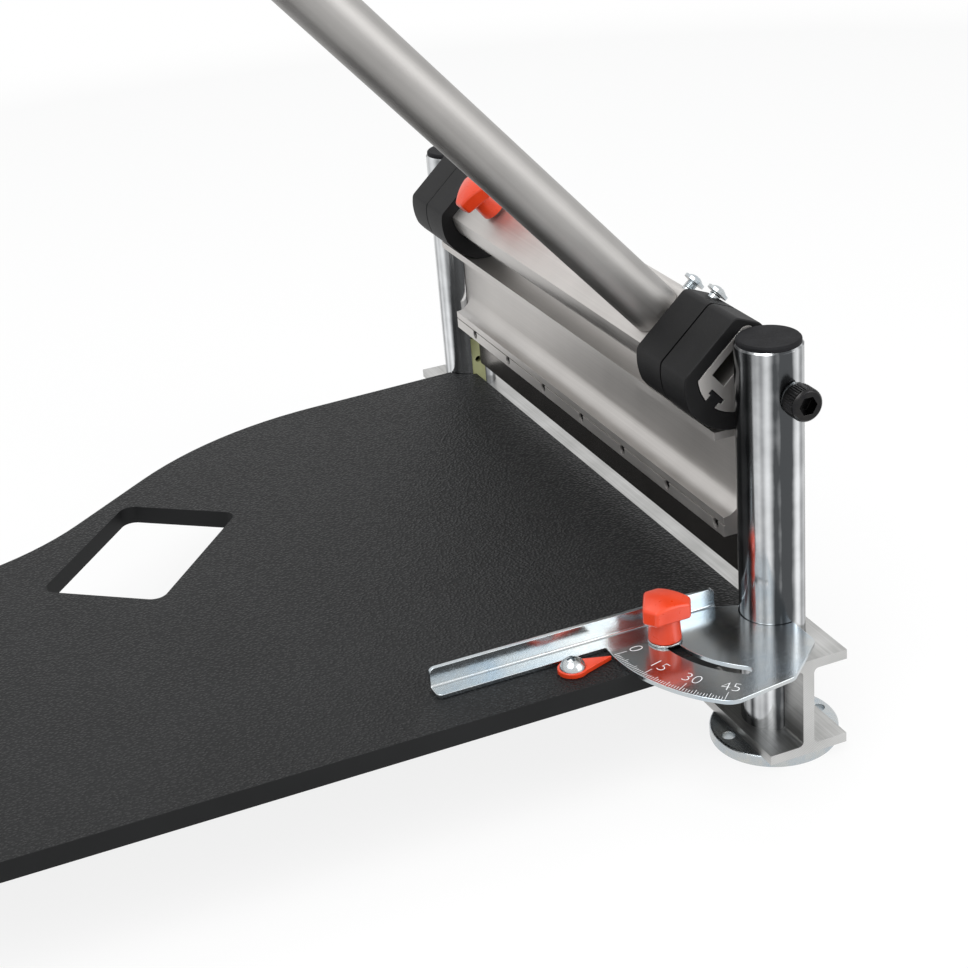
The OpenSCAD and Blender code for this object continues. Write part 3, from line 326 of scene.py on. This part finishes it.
# A merged copy of a CAD node with its corners eased, which then stands for the node
copyLook = {"weldMm": 0.002, "flatDegrees": 0.2, "cornerDegrees": 32, "segments": 2, "sharpDegrees": 46}


def easedCopy(ownLook, material):
    look = {**copyLook, **ownLook}
    bm = bmesh.new()
    bm.from_mesh(nodes[look["node"]].data)
    bmesh.ops.remove_doubles(bm, verts=bm.verts, dist=look["weldMm"] * mm)
    bmesh.ops.dissolve_limit(bm, angle_limit=math.radians(look["flatDegrees"]), verts=bm.verts,
        edges=bm.edges)
    corner = math.radians(look["cornerDegrees"])
    corners = [e for e in bm.edges if e.is_manifold and e.calc_face_angle(0) > corner]
    bmesh.ops.bevel(bm, geom=corners, offset=look["edgeMm"] * mm, offset_type="OFFSET", affect="EDGES",
        segments=look["segments"], profile=0.5, material=-1, clamp_overlap=True)
    piece = finishPiece(meshFrom(bm, look["name"]), look["node"], material, sharpDegrees=look["sharpDegrees"])
    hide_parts(look["node"])


def bothEnds(look, material):
    for end in ("near", "far"):
        easedCopy({**look, "node": look["node"] + "_" + end, "name": look["name"] + end.title()}, material)


# Frame
easedCopy({"node": "base_beam", "name": "baseBeam", "edgeMm": 0.5}, millAluminium)
easedCopy({"node": "leg_beam", "name": "legBeam", "edgeMm": 0.5}, millAluminium)
bothEnds({"node": "foot", "name": "foot", "edgeMm": 0.4}, zincPlate)
easedCopy({"node": "foot_bolts", "name": "footBolts", "edgeMm": 0.2}, zincPlate)
easedCopy({"node": "post_near", "name": "postNear", "edgeMm": 0.25}, brightZincNear)
easedCopy({"node": "post_far", "name": "postFar", "edgeMm": 0.25}, brightZincFar)
bothEnds({"node": "post_plug", "name": "postPlug", "edgeMm": 0.3}, plainSteel)
bothEnds({"node": "post_cap", "name": "postCap", "edgeMm": 0.25, "cornerDegrees": 20, "sharpDegrees": 24},
    polyCap)
bothEnds({"node": "slot_strip", "name": "slotStrip", "edgeMm": 0.3}, oliveAcetal)
bothEnds({"node": "pivot_bush", "name": "pivotBush", "edgeMm": 0.2}, zincPlate)
easedCopy({"node": "support_board", "name": "supportBoard", "edgeMm": 2.2, "segments": 4}, pebbledPoly)
easedCopy({"node": "board_screws", "name": "boardScrews", "edgeMm": 0.3}, zincPlate)
easedCopy({"node": "leg_screws", "name": "legScrews", "edgeMm": 0.3}, zincPlate)
easedCopy({"node": "leg_pads", "name": "legPads", "edgeMm": 0.6}, softRubber)
easedCopy({"node": "scale_pointer", "name": "scalePointer", "edgeMm": 0.3}, redAbs)
easedCopy({"node": "pointer_screw", "name": "pointerScrew", "edgeMm": 0.2}, zincPlate)
easedCopy({"node": "fence_bolt", "name": "fenceBolt", "edgeMm": 0.3}, zincPlate)
print("frame pieces dressed")

# Blade carriage
easedCopy({"node": "blade_carrier", "name": "bladeCarrier", "edgeMm": 0.3}, satinAluminium)
easedCopy({"node": "blade", "name": "blade", "edgeMm": 0.08}, groundSteel)
easedCopy({"node": "blade_screws", "name": "bladeScrews", "edgeMm": 0.15}, blackOxide)
print("carriage pieces dressed")

# Lever
easedCopy({"node": "cam_beam", "name": "camBeam", "edgeMm": 0.4}, satinAluminium)
for shoe in ("near_outer", "near_inner", "far_inner", "far_outer"):
    easedCopy({"node": "cam_shoe_" + shoe, "name": "camShoe" + shoe.title().replace("_", ""), "edgeMm": 1.8,
        "segments": 4}, nylonShoe)
easedCopy({"node": "shoe_screws", "name": "shoeScrews", "edgeMm": 0.2}, zincPlate)
bothEnds({"node": "pivot_bolt", "name": "pivotBolt", "edgeMm": 0.4}, blackOxide)
easedCopy({"node": "handle_tube", "name": "handleTube", "edgeMm": 0.7, "segments": 3}, satinTube)
easedCopy({"node": "handle_plug", "name": "handlePlug", "edgeMm": 0.3}, plainSteel)
easedCopy({"node": "handle_bolt", "name": "handleBolt", "edgeMm": 0.3}, zincPlate)
easedCopy({"node": "handle_grip", "name": "handleGrip", "edgeMm": 0.8, "segments": 3}, softRubber)
print("lever pieces dressed")


# Screw threads on the bare lengths of screws and studs: a zigzag line turned about the screw
# while it climbs one pitch. Places are in mm in the cam beam's frame.
leverPlace = (Matrix.Translation(Vector(jointOf["lever_turn"]["pos_m"]))
    @ Matrix.Rotation(leverTurn[1], 4, "Y")
    @ Matrix.Translation(Vector((-leverAxis["pivotAcrossMm"], 0, -leverAxis["pivotUpMm"])) * mm))
camKnobPlace = {"alongMm": 87, "threadUpMm": 13, "seatUpMm": 15}
threadLook = {"steps": 32, "weldMm": 0.01}
screwLook = {"node": "shoe_screws", "turnDegrees": 90, "coreMm": 2.4, "crestMm": 2.95, "pitchMm": 0.8}
screwUpMm = 9.2
screwPlaces = {"shoe": {"alongMm": 133.025, "fromMm": 20.8, "turns": 2},
    "beam": {"alongMm": 111.525, "fromMm": 16.8, "turns": 6}}
threadLooks = [{"name": "camKnobThread", "node": "cam_knob_stud", "turnDegrees": 0, "coreMm": 2.9,
    "crestMm": 3.4, "pitchMm": 1.0, "fromMm": -0.5, "turns": 3,
    "place": (0, camKnobPlace["alongMm"], camKnobPlace["threadUpMm"])}]
for end, side in (("Near", -1), ("Far", 1)):
    for kind, spot in screwPlaces.items():
        threadLooks.append({**screwLook, **spot, "name": kind + "Thread" + end,
            "place": (0, side * spot["alongMm"], screwUpMm)})


def screwThread(look):
    pitch = look["pitchMm"] * mm
    bm = bmesh.new()
    zigzag = [bm.verts.new(((look["crestMm"] if i % 2 else look["coreMm"]) * mm, 0,
        look["fromMm"] * mm + i * pitch / 2)) for i in range(2 * look["turns"])]
    flanks = [bm.edges.new(pair) for pair in zip(zigzag, zigzag[1:])]
    bmesh.ops.spin(bm, geom=zigzag + flanks, cent=(0, 0, 0), axis=(0, 0, 1), angle=2 * math.pi,
        steps=threadLook["steps"], dvec=(0, 0, pitch / threadLook["steps"]))
    bmesh.ops.remove_doubles(bm, verts=bm.verts, dist=threadLook["weldMm"] * mm)
    bmesh.ops.recalc_face_normals(bm, faces=bm.faces)
    bmesh.ops.transform(bm, verts=bm.verts, matrix=leverPlace
        @ Matrix.Translation(Vector(look["place"]) * mm)
        @ Matrix.Rotation(math.radians(look["turnDegrees"]), 4, "Y"))
    finishPiece(meshFrom(bm, look["name"]), look["node"], zincPlate)


for look in threadLooks:
    screwThread(look)


# Knurled rims of the socket cap screws: a toothed band round each head
knurlLook = {"teeth": 44, "insideMm": 7.4, "valleyMm": 7.7, "crestMm": 8.0, "fromMm": 207.4, "wideMm": 7.2,
    "sharpDegrees": 20}


def knurledRim(end, side):
    bm = bmesh.new()
    middle = Vector(jointOf["lever_turn"]["pos_m"]) + Vector((0, side * knurlLook["fromMm"] * mm, 0))
    ring = bmesh.ops.create_circle(bm, segments=2 * knurlLook["teeth"], radius=knurlLook["crestMm"] * mm,
        matrix=Matrix.Translation(middle) @ Matrix.Rotation(math.pi / 2, 4, "X"))["verts"]
    valley = knurlLook["valleyMm"] / knurlLook["crestMm"]
    inside = knurlLook["insideMm"] / knurlLook["crestMm"]
    wide = Vector((0, side * knurlLook["wideMm"] * mm, 0))
    about = Matrix.Translation(-middle)
    bmesh.ops.scale(bm, vec=(valley, 1, valley), space=about, verts=ring[::2])
    first = last = bm.edges[:]
    # over the teeth, in towards the head, and back under them
    for step, share in ((wide, 1), (Vector(), inside), (-wide, 1)):
        grown = bmesh.ops.extrude_edge_only(bm, edges=last)["geom"]
        rim = {g for g in grown if isinstance(g, bmesh.types.BMVert)}
        last = [g for g in grown if isinstance(g, bmesh.types.BMEdge) and rim.issuperset(g.verts)]
        bmesh.ops.translate(bm, vec=step, verts=list(rim))
        bmesh.ops.scale(bm, vec=(share, 1, share), space=about, verts=list(rim))
    bmesh.ops.bridge_loops(bm, edges=first + last)
    bmesh.ops.recalc_face_normals(bm, faces=bm.faces)
    mesh = meshFrom(bm, "knurledRim" + end.title())
    finishPiece(mesh, "pivot_bolt_" + end, blackOxide, sharpDegrees=knurlLook["sharpDegrees"])


knurledRim("near", -1)
knurledRim("far", 1)
print("threads and knurls cut")

# Clamp knobs: a three-cornered head with soft edges, bent over a dome, on a turned stem. One corner
# points along X before the knob is turned to its place.
knobLook = {"sideMm": 9.6, "cornerMm": 12.6, "topMm": 22, "stemMm": 12, "domeMm": 36, "edgeMm": 1.3,
    "segments": 4, "cuts": 7, "rings": (0.8, 0.75, 0.67, 0.5), "boreMm": 3.04, "boreTopMm": 10, "footMm": 7.9,
    "neckMm": 7.2, "chamferMm": 0.4, "intoHeadMm": 0.5, "stemSteps": 48, "weldMm": 0.001,
    "cornerRadians": 0.5, "sharpDegrees": 50}


def knobHead(bm):
    top, under = knobLook["topMm"] * mm, knobLook["stemMm"] * mm
    bmesh.ops.create_circle(bm, cap_ends=True, segments=3, radius=2 * knobLook["sideMm"] * mm,
        matrix=Matrix.Translation((0, 0, under)) @ Matrix.Rotation(-math.pi / 2, 4, "Z"))
    for i in range(3):
        corner = Vector((math.cos(i * 2 * math.pi / 3), math.sin(i * 2 * math.pi / 3), 0))
        bmesh.ops.bisect_plane(bm, geom=bm.verts[:] + bm.edges[:] + bm.faces[:],
            dist=knobLook["weldMm"] * mm, plane_co=corner * knobLook["cornerMm"] * mm, plane_no=corner,
            clear_outer=True)
    sides = [e for e in bm.edges if e.calc_length() > knobLook["sideMm"] * mm]
    bmesh.ops.subdivide_edges(bm, edges=sides, cuts=knobLook["cuts"])
    raised = bmesh.ops.extrude_face_region(bm, geom=bm.faces[:], use_keep_orig=True)["geom"]
    bmesh.ops.translate(bm, vec=(0, 0, top - under),
        verts=[g for g in raised if isinstance(g, bmesh.types.BMVert)])
    bmesh.ops.recalc_face_normals(bm, faces=bm.faces)
    corners = [e for e in bm.edges if e.calc_face_angle(0) > knobLook["cornerRadians"]]
    bmesh.ops.bevel(bm, geom=corners, offset=knobLook["edgeMm"] * mm, offset_type="OFFSET", affect="EDGES",
        segments=knobLook["segments"], profile=0.5, material=-1, clamp_overlap=True)
    crown = max(bm.faces, key=lambda f: f.calc_center_median().z)
    for share in knobLook["rings"]:
        crown = bmesh.ops.extrude_discrete_faces(bm, faces=[crown])["faces"][0]
        bmesh.ops.scale(bm, vec=(share, share, 1), verts=crown.verts[:])
    bmesh.ops.poke(bm, faces=[crown])
    dome = knobLook["domeMm"] * mm
    for vert in bm.verts:
        if vert.co.z > (top + under) / 2:
            vert.co.z -= dome - math.sqrt(dome ** 2 - vert.co.xy.length_squared)


def knobStem(bm):
    foot, neck, bore = knobLook["footMm"], knobLook["neckMm"], knobLook["boreMm"]
    boreTop, chamfer = knobLook["boreTopMm"], knobLook["chamferMm"]
    stemTop = knobLook["stemMm"] + knobLook["intoHeadMm"]
    profile = [(0, boreTop), (bore, boreTop), (bore, 0), (foot - chamfer, 0), (foot, chamfer),
        (neck, stemTop), (0, stemTop)]
    verts = [bm.verts.new((r * mm, 0, z * mm)) for r, z in profile]
    edges = [bm.edges.new(pair) for pair in zip(verts, verts[1:])]
    bmesh.ops.spin(bm, geom=verts + edges, cent=(0, 0, 0), axis=(0, 0, 1), angle=2 * math.pi,
        steps=knobLook["stemSteps"], use_merge=True)


def clampKnob(look):
    bm = bmesh.new()
    knobHead(bm)
    knobStem(bm)
    bmesh.ops.remove_doubles(bm, verts=bm.verts, dist=knobLook["weldMm"] * mm)
    bmesh.ops.recalc_face_normals(bm, faces=bm.faces)
    bmesh.ops.transform(bm, verts=bm.verts,
        matrix=look["place"] @ Matrix.Rotation(math.radians(look["turnDegrees"]), 4, "Z"))
    piece = finishPiece(meshFrom(bm, look["name"]), look["node"], redAbs,
        sharpDegrees=knobLook["sharpDegrees"])
    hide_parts(look["node"])


# Fence and clamps
easedCopy({"node": "angle_fence", "name": "angleFence", "edgeMm": 0.35}, zincSheet)
easedCopy({"node": "fence_washer", "name": "fenceWasher", "edgeMm": 0.25}, zincPlate)
clampKnob({"node": "fence_knob", "name": "fenceKnob", "turnDegrees": -29,
    "place": Matrix.Translation(jointOf["fence_clamp_turn"]["pos_m"])})
clampKnob({"node": "cam_knob", "name": "camKnob", "turnDegrees": 65,
    "place": leverPlace
        @ Matrix.Translation(Vector((0, camKnobPlace["alongMm"], camKnobPlace["seatUpMm"])) * mm)})
easedCopy({"node": "cam_knob_stud", "name": "camKnobStud", "edgeMm": 0.3}, zincPlate)
print("fence pieces dressed")


# Return springs: a round wire wound with a close turn at each end, which stretches between the plug
# in the post and the carriage tongue
springLook = {"wireMm": 1.6, "turns": 7, "endTurns": 1, "endPitchWires": 1.5, "sides": 12, "stepsPerTurn": 32}


def windSpring(end):
    node = "return_spring_" + end
    low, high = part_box(node)
    wire = springLook["wireMm"] * mm
    middle = Vector(((low.x + high.x) / 2, (low.y + high.y) / 2, 0))
    meanR = (high.x - low.x - wire) / 2
    endTurns = springLook["endTurns"]
    midTurns = springLook["turns"] - 2 * endTurns
    endRise = springLook["endPitchWires"] * wire
    midRise = (high.z - low.z - wire - 2 * endTurns * endRise) / midTurns
    bm = bmesh.new()
    start = (Matrix.Translation(middle + Vector((meanR, 0, low.z + wire / 2)))
        @ Matrix.Rotation(math.pi / 2, 4, "X"))
    ring = bmesh.ops.create_circle(bm, segments=springLook["sides"], radius=wire / 2, matrix=start)["verts"]
    tip = list({e for v in ring for e in v.link_edges})
    for rise, turns in ((endRise, endTurns), (midRise, midTurns), (endRise, endTurns)):
        steps = springLook["stepsPerTurn"] * turns
        wound = bmesh.ops.spin(bm, geom=tip, cent=middle, axis=(0, 0, 1), angle=2 * math.pi * turns,
            steps=steps, dvec=(0, 0, rise * turns / steps))
        tip = [g for g in wound["geom_last"] if isinstance(g, bmesh.types.BMEdge)]
    bmesh.ops.holes_fill(bm, edges=[e for e in bm.edges if e.is_boundary], sides=0)
    bmesh.ops.recalc_face_normals(bm, faces=bm.faces)
    spring = finishPiece(meshFrom(bm, "returnSpring" + end.title()), node, plainSteel, rides=False)
    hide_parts(node)
    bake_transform(spring)


for end in ("near", "far"):
    windSpring(end)
print("springs wound")


# Degree scale of the fence: thin painted lines, a hair proud of the sheet, with numbers at every
# fifteen degrees
scaleLook = {"radiusMm": 85.5, "insetMm": 0.7, "sheetMm": 2.2, "lineMm": 0.26, "proudMm": 0.02,
    "thickMm": 0.06, "shortMm": 2.4, "fiveMm": 3.6, "longMm": 6.6, "travelDegrees": 45,
    "fiveStep": 5, "numberStep": 15, "numberMm": 7.0, "capShare": 0.7, "numberGapMm": 5.2, "thinnerMm": 0.27}
postLow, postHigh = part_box("post_near")
fenceAxis = Vector(((postLow.x + postHigh.x) / 2, (postLow.y + postHigh.y) / 2, 0))
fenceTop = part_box("angle_fence")[0].z + scaleLook["sheetMm"] * mm


def scalePlace(degree, radius, lift):
    turn = Matrix.Rotation(math.radians(180 + degree), 4, "Z")
    return (Matrix.Translation(fenceAxis + Vector((0, 0, fenceTop + lift))) @ turn
        @ Matrix.Translation((radius, 0, 0)))


def scaleLines():
    bm = bmesh.new()
    outer = (scaleLook["radiusMm"] - scaleLook["insetMm"]) * mm
    lift = (scaleLook["proudMm"] - scaleLook["thickMm"] / 2) * mm
    for degree in range(scaleLook["travelDegrees"] + 1):
        if degree % scaleLook["numberStep"] == 0:
            length = scaleLook["longMm"] * mm
        elif degree % scaleLook["fiveStep"] == 0:
            length = scaleLook["fiveMm"] * mm
        else:
            length = scaleLook["shortMm"] * mm
        size = Matrix.Diagonal((length, scaleLook["lineMm"] * mm, scaleLook["thickMm"] * mm, 1))
        bmesh.ops.create_cube(bm, size=1, matrix=scalePlace(degree, outer - length / 2, lift) @ size)
    finishPiece(meshFrom(bm, "scaleLines"), "angle_fence", paleInk)


def scaleNumber(degree):
    words = bpy.data.curves.new("number", "FONT")
    words.body = str(degree)
    words.size = scaleLook["numberMm"] * mm / scaleLook["capShare"]
    words.align_x = "CENTER"
    words.align_y = "CENTER"
    words.offset = -scaleLook["thinnerMm"] * mm
    words.extrude = scaleLook["thickMm"] / 2 * mm
    holder = bpy.data.objects.new("number", words)
    bpy.context.scene.collection.objects.link(holder)
    bpy.context.view_layer.update()
    seen = holder.evaluated_get(bpy.context.evaluated_depsgraph_get())
    mesh = bpy.data.meshes.new_from_object(seen)
    bpy.data.objects.remove(holder)
    mesh.name = "scaleNumber" + str(degree)
    radius = (scaleLook["radiusMm"] - scaleLook["longMm"] - scaleLook["numberGapMm"]) * mm
    lift = (scaleLook["proudMm"] - scaleLook["thickMm"] / 2) * mm
    # tops of the numbers point to the post
    mesh.transform(scalePlace(degree, radius, lift) @ Matrix.Rotation(math.pi / 2, 4, "Z"))
    finishPiece(mesh, "angle_fence", paleInk)


scaleLines()
for degree in range(0, scaleLook["travelDegrees"] + 1, scaleLook["numberStep"]):
    scaleNumber(degree)
print("degree scale painted")


# Stage: a pale floor that fades into a white surround, soft lamps and the camera
stageLook = {"floorHalf": 8.0, "fadeFrom": 0.7, "fadeTo": 1.6, "floor": "#f4f4f3", "surround": "#ffffff",
    "paler": 0.85, "soft": "#f2f4f6", "softStrength": 0.55, "lampAim": (-0.05, 0, 0.1)}


# One for the rays that show the surround: from the camera, off metal or through glass
def seenRays(tree):
    path = addNode(tree, "ShaderNodeLightPath")
    bent = addNode(tree, "ShaderNodeMath", {"operation": "MAXIMUM"},
        {0: path.outputs["Is Glossy Ray"], 1: path.outputs["Is Transmission Ray"]})
    return addNode(tree, "ShaderNodeMath", {"operation": "MAXIMUM"},
        {0: path.outputs["Is Camera Ray"], 1: bent.outputs[0]}).outputs[0]


def makeFloor():
    bm = bmesh.new()
    bmesh.ops.create_grid(bm, x_segments=1, y_segments=1, size=stageLook["floorHalf"])
    mesh = meshFrom(bm, "floor")
    # matt floor that takes the shadow and fades to white with distance
    material = bpy.data.materials.new("paleFloor")
    material.use_nodes = True
    tree = material.node_tree
    tree.nodes.clear()
    matt = addNode(tree, "ShaderNodeBsdfDiffuse", {"Color": linear(stageLook["floor"])})
    white = addNode(tree, "ShaderNodeEmission", {"Color": linear(stageLook["surround"])})
    away = addNode(tree, "ShaderNodeVectorMath", {"operation": "LENGTH"},
        {0: addNode(tree, "ShaderNodeTexCoord").outputs["Object"]})
    fade = addNode(tree, "ShaderNodeMapRange", {"interpolation_type": "SMOOTHSTEP",
        "From Min": stageLook["fadeFrom"], "From Max": stageLook["fadeTo"]}, {"Value": away.outputs["Value"]})
    # the camera and mirrors see the near floor paler, with the object's shadow still on it
    paler = addNode(tree, "ShaderNodeMath", {"operation": "MULTIPLY", 1: stageLook["paler"]},
        {0: seenRays(tree)})
    share = addNode(tree, "ShaderNodeMath", {"operation": "MAXIMUM"},
        {0: fade.outputs["Result"], 1: paler.outputs[0]})
    mixed = addNode(tree, "ShaderNodeMixShader", None,
        {0: share.outputs[0], 1: matt.outputs[0], 2: white.outputs[0]})
    addNode(tree, "ShaderNodeOutputMaterial", None, {"Surface": mixed.outputs[0]})
    mesh.materials.append(material)
    floor = bpy.data.objects.new("floor", mesh)
    bpy.context.scene.collection.objects.link(floor)


lampLooks = [
    {"name": "keyLamp", "place": (-0.9, -0.7, 1.7), "size": 1.3, "power": 24},
    {"name": "fillLamp", "place": (1.0, -1.3, 0.9), "size": 1.2, "power": 14},
    {"name": "backLamp", "place": (-0.2, 0.7, 2.0), "size": 1.0, "power": 8},
]


def makeLamp(look):
    lamp = bpy.data.lights.new(look["name"], "AREA")
    lamp.shape = "SQUARE"
    lamp.size = look["size"]
    lamp.energy = look["power"]
    holder = bpy.data.objects.new(look["name"], lamp)
    holder.location = look["place"]
    toObject = Vector(stageLook["lampAim"]) - holder.location
    holder.rotation_euler = toObject.to_track_quat("-Z", "Y").to_euler()
    bpy.context.scene.collection.objects.link(holder)


def makeWorld():
    world = bpy.data.worlds.new("surround")
    world.use_nodes = True
    tree = world.node_tree
    tree.nodes.clear()
    soft = addNode(tree, "ShaderNodeBackground", {"Color": linear(stageLook["soft"]),
        "Strength": stageLook["softStrength"]})
    white = addNode(tree, "ShaderNodeBackground", {"Color": linear(stageLook["surround"]), "Strength": 1.0})
    mixed = addNode(tree, "ShaderNodeMixShader", None,
        {0: seenRays(tree), 1: soft.outputs[0], 2: white.outputs[0]})
    addNode(tree, "ShaderNodeOutputWorld", None, {"Surface": mixed.outputs[0]})
    bpy.context.scene.world = world


# Camera fitted to the view solved from the photograph, with a small part of the lens shift that view
# needs; in metres and in pixels of the square frame
cameraLook = {"place": (-0.408509, -0.887177, 0.526219), "right": (0.910724, -0.407258, -0.068727),
    "down": (-0.237228, -0.379611, -0.894218), "ahead": (0.338088, 0.830686, -0.442328),
    "focalPixels": 1916.7, "axisPixel": (524.1, 512.3), "framePixels": 968, "sensorMm": 36,
    "clipStart": 0.01}


def makeCamera():
    camera = bpy.data.cameras.new("camera")
    size = cameraLook["framePixels"]
    camera.sensor_width = cameraLook["sensorMm"]
    camera.lens = cameraLook["sensorMm"] * cameraLook["focalPixels"] / size
    camera.shift_x = (size / 2 - cameraLook["axisPixel"][0]) / size
    camera.shift_y = (cameraLook["axisPixel"][1] - size / 2) / size
    camera.clip_start = cameraLook["clipStart"]
    holder = bpy.data.objects.new("camera", camera)
    right, up, back = Vector(cameraLook["right"]), -Vector(cameraLook["down"]), -Vector(cameraLook["ahead"])
    turn = Matrix((right, up, back)).transposed().to_4x4()
    holder.matrix_world = Matrix.Translation(cameraLook["place"]) @ turn
    bpy.context.scene.collection.objects.link(holder)
    bpy.context.scene.camera = holder


makeFloor()
makeWorld()
for look in lampLooks:
    makeLamp(look)
makeCamera()
bpy.context.scene.view_settings.view_transform = "Standard"
print("stage set")
